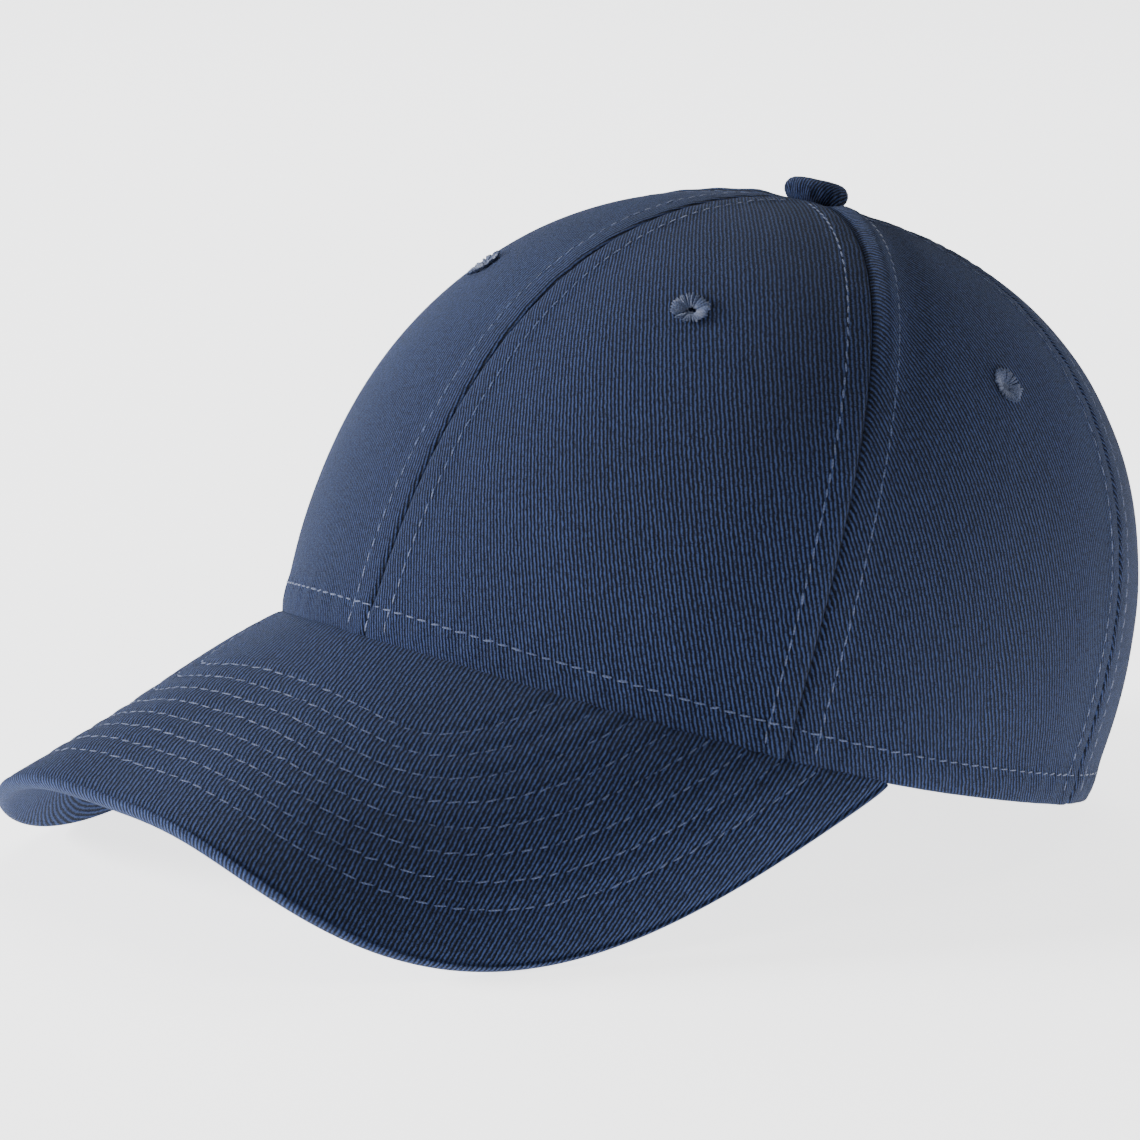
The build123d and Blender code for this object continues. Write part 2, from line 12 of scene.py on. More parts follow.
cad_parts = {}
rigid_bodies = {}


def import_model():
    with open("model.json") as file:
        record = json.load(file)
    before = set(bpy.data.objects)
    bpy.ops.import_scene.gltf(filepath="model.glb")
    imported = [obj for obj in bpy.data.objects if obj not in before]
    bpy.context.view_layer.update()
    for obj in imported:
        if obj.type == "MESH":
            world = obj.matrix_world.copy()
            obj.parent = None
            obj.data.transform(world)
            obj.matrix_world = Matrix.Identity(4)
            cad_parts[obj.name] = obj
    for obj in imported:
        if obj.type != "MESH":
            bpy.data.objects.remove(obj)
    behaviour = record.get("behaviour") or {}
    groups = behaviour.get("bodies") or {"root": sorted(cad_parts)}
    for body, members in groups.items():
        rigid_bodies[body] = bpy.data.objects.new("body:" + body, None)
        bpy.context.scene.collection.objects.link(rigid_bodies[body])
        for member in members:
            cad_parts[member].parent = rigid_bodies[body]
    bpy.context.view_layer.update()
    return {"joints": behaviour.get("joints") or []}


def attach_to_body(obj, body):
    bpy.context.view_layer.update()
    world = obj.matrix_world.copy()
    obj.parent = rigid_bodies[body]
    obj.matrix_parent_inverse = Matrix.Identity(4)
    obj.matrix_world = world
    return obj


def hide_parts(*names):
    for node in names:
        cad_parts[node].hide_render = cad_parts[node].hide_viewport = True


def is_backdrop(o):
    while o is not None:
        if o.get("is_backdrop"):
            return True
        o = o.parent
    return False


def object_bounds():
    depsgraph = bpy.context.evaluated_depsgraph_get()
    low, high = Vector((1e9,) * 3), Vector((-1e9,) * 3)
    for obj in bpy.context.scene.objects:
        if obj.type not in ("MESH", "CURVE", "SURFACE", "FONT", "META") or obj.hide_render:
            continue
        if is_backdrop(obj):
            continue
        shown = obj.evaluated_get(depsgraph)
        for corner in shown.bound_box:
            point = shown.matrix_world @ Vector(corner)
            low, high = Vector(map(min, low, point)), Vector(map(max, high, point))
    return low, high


bl_info = {
    "name": "Baseball Cap",
    "version": (1, 0, 0),
    "blender": (4, 5, 0),
    "location": "View3D > Sidebar > Cap",
    "description": "Builds the cloth, thread and trim of a six-panel baseball cap",
    "category": "Add Mesh",
}

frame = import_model()

MM = 0.001

# ---------------------------------------------------------------- pattern of the cap, in mm
HALF_WIDTH = 88.0
FRONT_LENGTH = 102.2
BACK_LENGTH = 97.4
CROWN_HEIGHT = 118.4
PEAK_HEIGHT = 2.6
TOP_SHIFT = 5.8
TOP_SHIFT_POWER = 1.6
WALL_POWER = (2.28, 2.6, 2.53)
WALL_BULGE = (-0.012, 0.044, 0.039)
PLAN_POWER = (1.95, 2.155)
FRONT_RISE = 6.8
FRONT_SEAM = (62.9, 3.9)
BACK_SEAM = (116.3, 0.8)
CLOTH = 0.45
PANEL_TIP = 0.985
EYELET_RISE = {"front": 0.519, "side": 0.483, "back": 0.50}
EYELET_HOLE = 1.5
EYELET_RADIUS = 4.7

VISOR_CORNER = 77.66
VISOR_REACH = 62.4
VISOR_TIP_DROP = 33.9
VISOR_SIDE_DROP = 25.7
VISOR_SIDE_POWER = 0.89
VISOR_FLARE = 3.1
VISOR_X_POWER, VISOR_Y_POWER = 0.54, 1.40
VISOR_CROWN, VISOR_SHOULDER = 1.0, 5.5
VISOR_THICKNESS = 3.7

ARCH_HALF_WIDTH = 31.0
ARCH_HEIGHT = 48.0
ARCH_SHOULDER = ARCH_HEIGHT - ARCH_HALF_WIDTH
STRAP_CENTRE = 9.2
STRAP_RADIUS = 90.0
STRAP_LEAN = 0.09
STRAP_LOW, STRAP_HIGH = 4.5, 22.1
STRAP_DEPTH, STRAP_THICKNESS = 2.4, 1.1
SWEATBAND_DEPTH = 5.4
SWEATBAND_HEIGHT = 33.0
ARCH_AZIMUTH = 180 - np.degrees(ARCH_HALF_WIDTH / STRAP_RADIUS)
BAND_END = ARCH_AZIMUTH - 0.6
STRAP_ENDS = (-46.0, 58.0)
CLASP_ARC = -17.0
CLASP_BAR = -8.4
BAR_RADIUS = 0.85
TAB_RADIUS, TAB_HALF_WALL = 88.6, 0.4
TAB_LENGTH, TAB_HEIGHT = 17.0, 17.0

# the strap's hinge lies on the crown's own upright axis, which gives the rest attitude
strap_joint = next(j for j in frame["joints"] if j["name"] == "strap_adjust")
UP = Vector(strap_joint["axis"]).normalized()
REST_PITCH = atan2(UP.y, UP.z)


def lay_back(points):
    """Turn points or directions from the cap's upright frame to the rest attitude."""
    points = np.asarray(points, float)
    x, y, z = points[..., 0], points[..., 1], points[..., 2]
    c, s = cos(REST_PITCH), sin(REST_PITCH)
    return np.stack([x, y * c + z * s, z * c - y * s], -1)


GROUND = np.array(strap_joint["pos_m"]) / MM - lay_back((0, STRAP_CENTRE, 0))


def place(points):
    return lay_back(points) + GROUND


def blend_by_azimuth(values, azimuth):
    along = np.cos(np.radians(azimuth))
    end = np.where(along > 0, values[0], values[2])
    return end * along**2 + values[1] * np.sin(np.radians(azimuth)) ** 2


def signed_power(value, power):
    return np.sign(value) * np.abs(value) ** power


def crown_skin(azimuth, rise):
    """Outer face of the crown: azimuth from the front towards the wearer's left, rise 0 to 1."""
    azimuth, rise = np.broadcast_arrays(np.asarray(azimuth, float), np.asarray(rise, float))
    turn = np.clip(rise, 0, 1) * pi / 2
    power = blend_by_azimuth(WALL_POWER, azimuth)
    radius = np.clip(np.cos(turn), 0, 1) ** (2 / power)
    height = np.clip(np.sin(turn), 0, 1) ** (2 / power)
    wide = radius * (1 + blend_by_azimuth(WALL_BULGE, azimuth) * np.sin(pi * height))
    along, across = np.cos(np.radians(azimuth)), np.sin(np.radians(azimuth))
    plan = 2 / np.where(along > 0, PLAN_POWER[0], PLAN_POWER[1])
    length = np.where(along > 0, FRONT_LENGTH, BACK_LENGTH)
    x = HALF_WIDTH * signed_power(across, plan) * wide
    y = -length * signed_power(along, plan) * wide + TOP_SHIFT * height**TOP_SHIFT_POWER
    z = CROWN_HEIGHT * height + PEAK_HEIGHT * (1 - radius) ** 3
    return np.stack([x, y, z], -1)


def rise_at(azimuth, height):
    azimuth, height = np.broadcast_arrays(np.asarray(azimuth, float), np.asarray(height, float))
    low, high = np.zeros(azimuth.shape), np.ones(azimuth.shape)
    for _ in range(36):
        middle = (low + high) / 2
        below = crown_skin(azimuth, middle)[..., 2] < height
        low = np.where(below, middle, low)
        high = np.where(below, high, middle)
    return (low + high) / 2


def rim_height(azimuth):
    return FRONT_RISE * np.maximum(0.0, np.cos(np.radians(azimuth))) ** 2


def unit(vectors):
    return vectors / np.maximum(np.linalg.norm(vectors, axis=-1, keepdims=True), 1e-12)


def crown_normal(azimuth, rise):
    around = crown_skin(azimuth + 0.02, rise) - crown_skin(azimuth - 0.02, rise)
    low = np.clip(rise - 2e-4, 0, 1)
    up = crown_skin(azimuth, np.clip(rise + 2e-4, 0, 1)) - crown_skin(azimuth, low)
    return unit(np.cross(around, up))


def seam_azimuth(seam, rise):
    return seam[0] + seam[1] * rise


def visor_edge(share):
    corner = crown_skin(VISOR_CORNER, rise_at(VISOR_CORNER, rim_height(VISOR_CORNER)))
    turn = np.abs(share) * pi / 2
    across, along = np.sin(turn), np.clip(np.cos(turn), 0, 1)
    low = np.sin(2 * turn) ** 2
    x = corner[0] * across**VISOR_X_POWER + VISOR_FLARE * low
    y = corner[1] + (-FRONT_LENGTH - VISOR_REACH - corner[1]) * along**VISOR_Y_POWER
    z = corner[2] * across - VISOR_TIP_DROP * along - VISOR_SIDE_DROP * low**VISOR_SIDE_POWER
    return np.stack([np.sign(share) * x, y, z], -1)


def visor_skin(share, reach):
    """Upper face of the visor: share -1 to 1 from corner to corner, reach 0 at the rim."""
    share, reach = np.broadcast_arrays(np.asarray(share, float), np.asarray(reach, float))
    azimuth = share * VISOR_CORNER
    root = crown_skin(azimuth, rise_at(azimuth, rim_height(azimuth)))
    turn = share * pi / 2
    arch = VISOR_CROWN * np.cos(turn) ** 2 + VISOR_SHOULDER * np.sin(2 * turn) ** 2
    arch = arch * 4 * reach * (1 - reach)
    lift = np.stack([0.6 * np.sin(turn), np.full_like(turn, -0.3), np.full_like(turn, 0.75)], -1)
    return root + (visor_edge(share) - root) * reach[..., None] + lift * arch[..., None]


def visor_normal(share, reach):
    across = visor_skin(share + 1e-3, reach) - visor_skin(share - 1e-3, reach)
    out = visor_skin(share, reach + 1e-3) - visor_skin(share, reach - 1e-3)
    return unit(np.cross(out, across))


def smoothstep(low, high, value):
    t = np.clip((value - low) / (high - low), 0, 1)
    return t * t * (3 - 2 * t)


def bump(value, centre, width):
    return np.exp(-(((value - centre) / width) ** 2))


def run_length(points, axis):
    """Distance travelled along one axis of a grid of points."""
    steps = np.linalg.norm(np.diff(points, axis=axis), axis=-1)
    pad = [(0, 0), (0, 0)]
    pad[axis] = (1, 0)
    return np.cumsum(np.pad(steps, pad), axis=axis)


def wander(rng, x, y, scale, count=5):
    """Slow random relief between -1 and 1, a sum of a few waves."""
    total = np.zeros(np.broadcast(x, y).shape)
    for _ in range(count):
        angle, phase = rng.uniform(0, 2 * pi), rng.uniform(0, 2 * pi)
        wave = 2 * pi / (scale * rng.uniform(0.7, 1.6))
        total = total + np.sin((x * cos(angle) + y * sin(angle)) * wave + phase)
    return total / count


# ---------------------------------------------------------------- shader expressions


class Socket:
    """A shader output that works in Python expressions."""

    def __init__(self, tree, output):
        self.tree, self.output = tree, output

    def maths(self, operation, *values):
        return self.tree.node("ShaderNodeMath", {"operation": operation}, *values)

    def __add__(self, other):
        return self.maths("ADD", self, other)

    __radd__ = __add__

    def __sub__(self, other):
        return self.maths("SUBTRACT", self, other)

    def __rsub__(self, other):
        return self.maths("SUBTRACT", other, self)

    def __mul__(self, other):
        return self.maths("MULTIPLY", self, other)

    __rmul__ = __mul__

    def __truediv__(self, other):
        return self.maths("DIVIDE", self, other)

    def __pow__(self, other):
        return self.maths("POWER", self, other)


class Shader:
    """One material, with its nodes made by a single method."""

    def __init__(self, name):
        self.material = bpy.data.materials.new(name)
        self.material.use_nodes = True
        self.nodes = self.material.node_tree.nodes
        self.links = self.material.node_tree.links
        self.surface = self.nodes["Principled BSDF"]

    def node(self, kind, settings=None, *values, output=0, **named):
        """Make a node: its type, its settings, then its inputs by place or by name."""
        made = self.nodes.new(kind)
        for key, value in (settings or {}).items():
            setattr(made, key, value)
        for key, value in list(enumerate(values)) + list(named.items()):
            if value is not None:
                self.feed(made.inputs[key], value)
        return Socket(self, made.outputs[output])

    def feed(self, socket, value):
        if isinstance(value, Socket):
            self.links.new(value.output, socket)
        else:
            socket.default_value = value

    def set(self, **values):
        for name, value in values.items():
            self.feed(self.surface.inputs[name.replace("_", " ")], value)

    def mix(self, factor, first, second):
        colours = [None] * 5 + [first, second]
        return self.node("ShaderNodeMix", {"data_type": "RGBA"}, factor, *colours, output=2)

    def noise(self, vector, scale, detail=2.0, roughness=0.5):
        return self.node(
            "ShaderNodeTexNoise", None, Vector=vector, Scale=scale, Detail=detail, Roughness=roughness
        )

    def sine(self, turns):
        """Sine of a number of whole turns."""
        return self.node("ShaderNodeMath", {"operation": "SINE"}, turns * (2 * pi))

    def clamp(self, value, low, high, to_low=0.0, to_high=1.0):
        settings = {"clamp": True, "interpolation_type": "SMOOTHSTEP"}
        return self.node("ShaderNodeMapRange", settings, value, low, high, to_low, to_high)

    def bump(self, height, distance, strength=1.0):
        normal = self.node("ShaderNodeBump", None, Height=height, Distance=distance, Strength=strength)
        self.set(Normal=normal)


def rgba(colour, factor=1.0):
    return tuple(min(1.0, c * factor) for c in colour[:3]) + (1.0,)


def cloth_coordinates(shader):
    """The piece's flat pattern, and its places across and along the cloth in mm."""
    uv = shader.node("ShaderNodeUVMap", {"uv_map": "flat"})
    across, along = (shader.node("ShaderNodeSeparateXYZ", None, uv, output=k) for k in (0, 1))
    return uv, across * (1 / MM), along * (1 / MM)


def twill_material(name, colour, lean, pitch=0.86, depth=0.36, wash=1.0):
    """Cotton twill: diagonal ribs of uneven yarn floats, lint, and worn high spots, with painted shade in the rib
    grooves and painted highlight on the rib tops.
    """
    shader = Shader(name)
    uv, across, along = cloth_coordinates(shader)
    cap_place = shader.node("ShaderNodeTexCoord", output="Object")
    c, s = cos(radians(lean)), sin(radians(lean))
    straight_run = across * (c / pitch) - along * (s / pitch)
    yarn_run = across * (s / pitch) + along * (c / pitch)
    wobble = shader.noise(uv, 95.0, 2.0) * 0.5 + shader.noise(uv, 620.0, 2.0) * 0.55
    rib_run = straight_run + wobble
    rib = shader.sine(rib_run) * 0.5 + 0.5
    thread_place = shader.node("ShaderNodeCombineXYZ", None, straight_run * 1.15, yarn_run * 0.75)
    yarn = shader.clamp(shader.noise(thread_place, 1.0, 3.0, 0.75), 0.34, 0.66)
    floats = shader.sine(yarn_run * 1.45 + rib_run * 0.35 + yarn * 0.5) * 0.5 + 0.5
    fuzz = shader.noise(uv, 3500.0, 3.0, 0.7)
    patch = shader.noise(cap_place, 15.0, 3.0, 0.55)
    speck = shader.clamp(fuzz, 0.34, 0.68)
    relief = rib * (yarn * 0.42 + 0.46) + floats * rib * 0.12 + speck * 0.36
    # colour from the relief: the dark end is painted shade in the rib grooves, the light end painted highlight on the
    # rib tops
    shade = shader.clamp(relief, 0.16, 1.04)
    tone = shader.clamp(patch, 0.3, 0.7)
    painted_groove_shade = shader.mix(tone, rgba(colour, 0.05), rgba(colour, 0.10))
    light = shader.mix(tone, rgba(colour, 3.3), rgba(colour, 4.3))
    base = shader.mix(shade**1.9, painted_groove_shade, light)
    wear = shader.node("ShaderNodeAttribute", {"attribute_name": "wear"}, output="Fac")
    worn = shader.clamp(wear * (shade * 0.7 + 0.4), 0.25, 1.1) * (0.30 * wash)
    base = shader.mix(worn, base, rgba(colour, 3.4))
    shader.set(Base_Color=base, Roughness=0.84 + fuzz * 0.12, Specular_IOR_Level=0.16)
    shader.set(Sheen_Weight=0.12, Sheen_Roughness=0.45, Sheen_Tint=rgba((0.55, 0.66, 1.0)))
    shader.bump(relief, depth * MM, 1.0)
    return shader.material


def thread_material(name, colour):
    """Plied polyester thread: twisted strands with a soft shine, and painted shade in the twist's grooves."""
    shader = Shader(name)
    uv, across, along = cloth_coordinates(shader)
    twist = shader.node("ShaderNodeMath", {"operation": "SINE"}, along * 9.0 + across * 7.0)
    lint = shader.noise(uv, 1800.0, 2.0, 0.6)
    strand = twist * 0.35 + 0.5 + lint * 0.25
    # colour follows the twist's relief: painted shade in the grooves, painted highlight on the strands, with lint tone
    # at random
    base = shader.mix(shader.clamp(strand, 0.2, 1.0), rgba(colour, 0.55), rgba(colour, 1.5))
    shader.set(Base_Color=base, Roughness=0.36 + lint * 0.2, Specular_IOR_Level=0.6)
    shader.set(Sheen_Weight=0.35, Sheen_Roughness=0.4, Sheen_Tint=rgba((0.7, 0.78, 1.0)))
    shader.bump(strand, 0.06 * MM)
    return shader.material


def plain_weave_material(name, colour, pitch, contrast=0.5, roughness=0.85):
    """Plain weave, as in tape, buckram and lining: over and under squares, with painted shade on the under squares and
    painted highlight on the over squares.
    """
    shader = Shader(name)
    uv, across, along = cloth_coordinates(shader)
    warp = shader.node("ShaderNodeMath", {"operation": "SINE"}, across * (2 * pi / pitch))
    weft = shader.node("ShaderNodeMath", {"operation": "SINE"}, along * (2 * pi / pitch))
    lint = shader.noise(uv, 1500.0, 3.0, 0.6)
    height = warp * weft * 0.35 + 0.5 + lint * 0.35
    # colour follows the weave's relief: painted shade on the sunk squares, painted highlight on the raised ones, with
    # lint tone at random
    base = shader.mix(
        shader.clamp(height, 0.25, 1.05), rgba(colour, 1.0 - contrast), rgba(colour, 1.0 + contrast)
    )
    shader.set(Base_Color=base, Roughness=roughness - lint * 0.1, Specular_IOR_Level=0.25)
    shader.set(Sheen_Weight=0.15, Sheen_Roughness=0.5)
    shader.bump(height, 0.1 * MM)
    return shader.material


def object_material(name, colour, roughness, metallic, grain, grain_scale, depth, brushed=False):
    """Metal or plastic on a CAD piece, with handling marks, by object coordinates."""
    shader = Shader(name)
    where = shader.node("ShaderNodeTexCoord", output="Object")
    if brushed:
        stretch = (1.0, 1.0, 0.12)
        where = shader.node("ShaderNodeMapping", None, Vector=where, Scale=stretch)
    fine = shader.noise(where, grain_scale, 4.0, 0.6)
    broad = shader.noise(where, 160.0, 3.0, 0.5)
    tone = shader.clamp(fine * 0.6 + broad * 0.4, 0.3, 0.7)
    base = shader.mix(tone, rgba(colour, 1 - grain), rgba(colour, 1 + grain))
    shader.set(Base_Color=base, Roughness=roughness + fine * 0.18 - 0.09, Metallic=metallic)
    shader.bump(fine, depth * MM)
    return shader.material


# ---------------------------------------------------------------- mesh helpers


def finish_object(name, bm, materials, smooth=True):
    mesh = bpy.data.meshes.new(name)
    bm.to_mesh(mesh)
    bm.free()
    made = bpy.data.objects.new(name, mesh)
    bpy.context.scene.collection.objects.link(made)
    for material in materials:
        mesh.materials.append(material)
    if smooth:
        mesh.polygons.foreach_set("use_smooth", [True] * len(mesh.polygons))
    return made


def attach(made, body, replaced=()):
    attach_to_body(made, body)
    if replaced:
        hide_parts(*replaced)
    return made


def grid_object(name, points, flat, material, outward, thickness=0.0, wear=None, closed=False):
    """Cloth laid over a grid of points in mm, with its flat pattern as the UV map."""
    across, along = points.shape[:2]
    bm = bmesh.new()
    bmesh.ops.create_grid(bm, x_segments=across - 1, y_segments=along - 1, size=1.0)
    bm.verts.ensure_lookup_table()
    corners = np.array([v.co for v in bm.verts])
    i = np.rint((corners[:, 0] + 1) / 2 * (across - 1)).astype(int)
    j = np.rint((corners[:, 1] + 1) / 2 * (along - 1)).astype(int)
    uv = bm.loops.layers.uv.new("flat")
    worn = bm.verts.layers.float.new("wear")
    patterns = flat[i, j] * MM
    for face in bm.faces:
        for loop in face.loops:
            loop[uv].uv = patterns[loop.vert.index]
    values = np.full(len(i), 0.15) if wear is None else wear[i, j]
    for vertex, point, value in zip(bm.verts, place(points[i, j]) * MM, values):
        vertex.co = point
        vertex[worn] = value
    bm.normal_update()
    wanted = lay_back(outward[i, j])
    facing = sum(f.normal.dot(wanted[f.verts[0].index]) for f in bm.faces)
    if closed:
        bmesh.ops.remove_doubles(bm, verts=bm.verts, dist=0.01 * MM)
    if facing < 0:
        bmesh.ops.reverse_faces(bm, faces=bm.faces)
    made = finish_object(name, bm, [material])
    if thickness:
        wall = made.modifiers.new("thickness", "SOLIDIFY")
        wall.thickness = thickness * MM
        wall.offset = -1.0
    return made


def stitch_row(name, path, normals, material, body, pitch=3.4, length=2.5, width=0.44,
               rise=0.06, seed=0):
    """A row of thread stitches along a path in mm, each a small lens of thread."""
    rng = np.random.default_rng(seed + 11)
    steps = np.linalg.norm(np.diff(path, axis=0), axis=1)
    run = np.concatenate([[0], np.cumsum(steps)])
    count = max(1, int(run[-1] / pitch))
    gap = run[-1] / count
    bm = bmesh.new()
    uv = bm.loops.layers.uv.new("flat")
    for k in range(count):
        middle = (k + 0.5) * gap + rng.normal(0, 0.06)
        ends = [np.array([np.interp(middle + d, run, path[:, a]) for a in range(3)])
                for d in (-length / 2, length / 2)]
        normal = unit(np.array([np.interp(middle, run, normals[:, a]) for a in range(3)]))
        along = unit(ends[1] - ends[0])
        side = unit(np.cross(normal, along))
        along = unit(along + side * rng.normal(0.10, 0.07) + normal * rng.normal(0, 0.03))
        side = unit(np.cross(normal, along))
        up = np.cross(along, side)
        centre = (ends[0] + ends[1]) / 2 + normal * (rise + rng.normal(0, 0.02))
        half = length / 2 * rng.normal(1.0, 0.10)
        across = width / 2 * rng.normal(1.0, 0.09)
        columns = [lay_back(v) * size * MM for v, size in ((along, half), (side, across), (up, across * 0.8))]
        matrix = Matrix([[columns[c][r] for c in range(3)] for r in range(3)]).to_4x4()
        matrix.translation = Vector(place(centre) * MM)
        turn = Matrix.Rotation(pi / 2, 4, "Y")
        made = bmesh.ops.create_uvsphere(
            bm, u_segments=6, v_segments=5, radius=1.0, matrix=matrix @ turn
        )
        faces = {f for v in made["verts"] for f in v.link_faces}
        inverse = matrix.inverted()
        for face in faces:
            for loop in face.loops:
                local = inverse @ loop.vert.co
                loop[uv].uv = (local.y * across * MM, (local.x * half + middle) * MM)
    bmesh.ops.recalc_face_normals(bm, faces=bm.faces)
    made = finish_object(name, bm, [material])
    return attach(made, body)


# ---------------------------------------------------------------- settings


class CapSettings(PropertyGroup):
    """Sizes and colours that a user would change."""

    cloth_colour: FloatVectorProperty(
        name="Cloth colour", description="Colour of the twill", subtype="COLOR", size=3,
        default=(0.0112, 0.0188, 0.0515),
    )
    thread_colour: FloatVectorProperty(
        name="Thread colour", description="Colour of the top stitching", subtype="COLOR", size=3,
        default=(0.040, 0.062, 0.145),
    )
    twill_lean: FloatProperty(
        name="Twill lean", description="Lean of the twill from the straight grain, in degrees",
        default=-22.0,
    )
    stitch_pitch: FloatProperty(
        name="Stitch pitch", description="Distance from stitch to stitch, in mm", default=3.4,
    )
    visor_rows: IntProperty(name="Visor rows", description="Rows of stitching", default=8)


def settings():
    return bpy.context.scene.cap_settings


def cloth():
    """The twill of the crown, made once."""
    found = bpy.data.materials.get("navy_twill")
    if found:
        return found
    own = settings()
    return twill_material("navy_twill", own.cloth_colour, own.twill_lean)


def thread():
    found = bpy.data.materials.get("navy_thread")
    return found or thread_material("navy_thread", settings().thread_colour)


# ---------------------------------------------------------------- crown panels

PANELS = {
    "front_left_panel": ((0.0, 0.0), FRONT_SEAM, "front", 1),
    "front_right_panel": ((-FRONT_SEAM[0], -FRONT_SEAM[1]), (0.0, 0.0), "front", 2),
    "side_left_panel": (FRONT_SEAM, BACK_SEAM, "side", 3),
    "side_right_panel": (
        (-BACK_SEAM[0], -BACK_SEAM[1]), (-FRONT_SEAM[0], -FRONT_SEAM[1]), "side", 4),
    "back_left_panel": (BACK_SEAM, (180.0, 0.0), "back", 5),
    "back_right_panel": ((-180.0, 0.0), (-BACK_SEAM[0], -BACK_SEAM[1]), "back", 6),
}
HEM_STITCH = 6.6
SEAM_STITCH = 6.0
CURL = {"front": 0.75, "side": 0.75, "back": 0.48}


def fine_shares(count):
    """Shares from 0 to 1, closer together near both ends."""
    even = np.linspace(0, 1, count)
    return 0.45 * even + 0.55 * (1 - np.cos(even * pi)) / 2


def back_azimuth(x, height):
    """Azimuth of the point on the back of the crown at this x and height."""
    azimuth = 180 - np.degrees(x / 92.0)
    for _ in range(12):
        there = crown_skin(azimuth, rise_at(azimuth, height))
        azimuth = np.minimum(azimuth + np.degrees((there[..., 0] - x) / 92.0), 180.0)
    return azimuth


def lower_edge(first, last, shares):
    """Azimuth and rise of a panel's lower edge; it runs up and over the arch at the back."""
    if abs(last) < 179 and abs(first) < 179:
        azimuth = first + (last - first) * shares
        return azimuth, rise_at(azimuth, rim_height(azimuth))
    sign = 1 if last > 0 else -1
    seam = abs(first) if sign > 0 else abs(last)
    own = shares if sign > 0 else 1 - shares
    rim_run = (ARCH_AZIMUTH - seam) / 180 * pi * 92
    side_run, arc_run = ARCH_SHOULDER, ARCH_HALF_WIDTH * pi / 2
    travelled = own * (rim_run + side_run + arc_run)
    on_rim = np.clip(travelled / rim_run, 0, 1)
    on_side = np.clip((travelled - rim_run) / side_run, 0, 1)
    on_arc = np.clip((travelled - rim_run - side_run) / arc_run, 0, 1) * pi / 2
    foot = ARCH_HALF_WIDTH
    x = foot * np.cos(on_arc)
    height = ARCH_SHOULDER * on_side + ARCH_HALF_WIDTH * np.sin(on_arc)
    azimuth = seam + (ARCH_AZIMUTH - seam) * on_rim
    azimuth = np.where(on_rim >= 1, back_azimuth(x, height), azimuth)
    return azimuth * sign, rise_at(azimuth, height)


def seam_relief(distance, along, depth, rng):
    """Height of the cloth beside a seam: a groove, the folded allowance and its stitching."""
    groove = -depth * bump(distance, 0, 0.45)
    allowance = 0.34 * smoothstep(0, 1.6, distance) * (1 - smoothstep(5.4, 8.5, distance))
    dimples = 0.65 + 0.35 * np.cos(2 * pi * along / 3.4)
    stitched = -0.26 * bump(distance, SEAM_STITCH, 0.8) * dimples
    phase = rng.uniform(0, 6)
    pucker = np.sin(2 * pi * along / 8.5 + phase + 1.3 * np.sin(along / 13 + phase))
    pucker = 0.10 * pucker * bump(distance, 3.0, 3.0)
    return groove + allowance + stitched + pucker


def hem_relief(height, around, rng):
    """Height of the cloth above the turned hem."""
    doubled = 0.30 * (1 - smoothstep(6.0, 9.0, height))
    dimples = 0.6 + 0.4 * np.cos(2 * pi * around / 3.4)
    stitched = -0.30 * bump(height, HEM_STITCH, 0.85) * dimples
    phase = rng.uniform(0, 6)
    pucker = np.sin(2 * pi * around / 7.5 + phase + 1.5 * np.sin(around / 11 + phase))
    return doubled + stitched + 0.16 * pucker * bump(height, 5.0, 4.5)


def panel_pattern(first, last, azimuth, rise, surface):
    """Flat pattern of a panel: distance from its middle line, and distance up that line."""
    steps = np.linspace(0, 1, 200)
    middle = (seam_azimuth(first, rise) + seam_azimuth(last, rise)) / 2
    line = crown_skin((first[0] + last[0]) / 2, steps)
    climbed = np.concatenate([[0], np.cumsum(np.linalg.norm(np.diff(line, axis=0), axis=1))])
    radius = np.hypot(surface[..., 0], surface[..., 1])
    return np.stack([np.radians(azimuth - middle) * radius, np.interp(rise, steps, climbed)], -1)


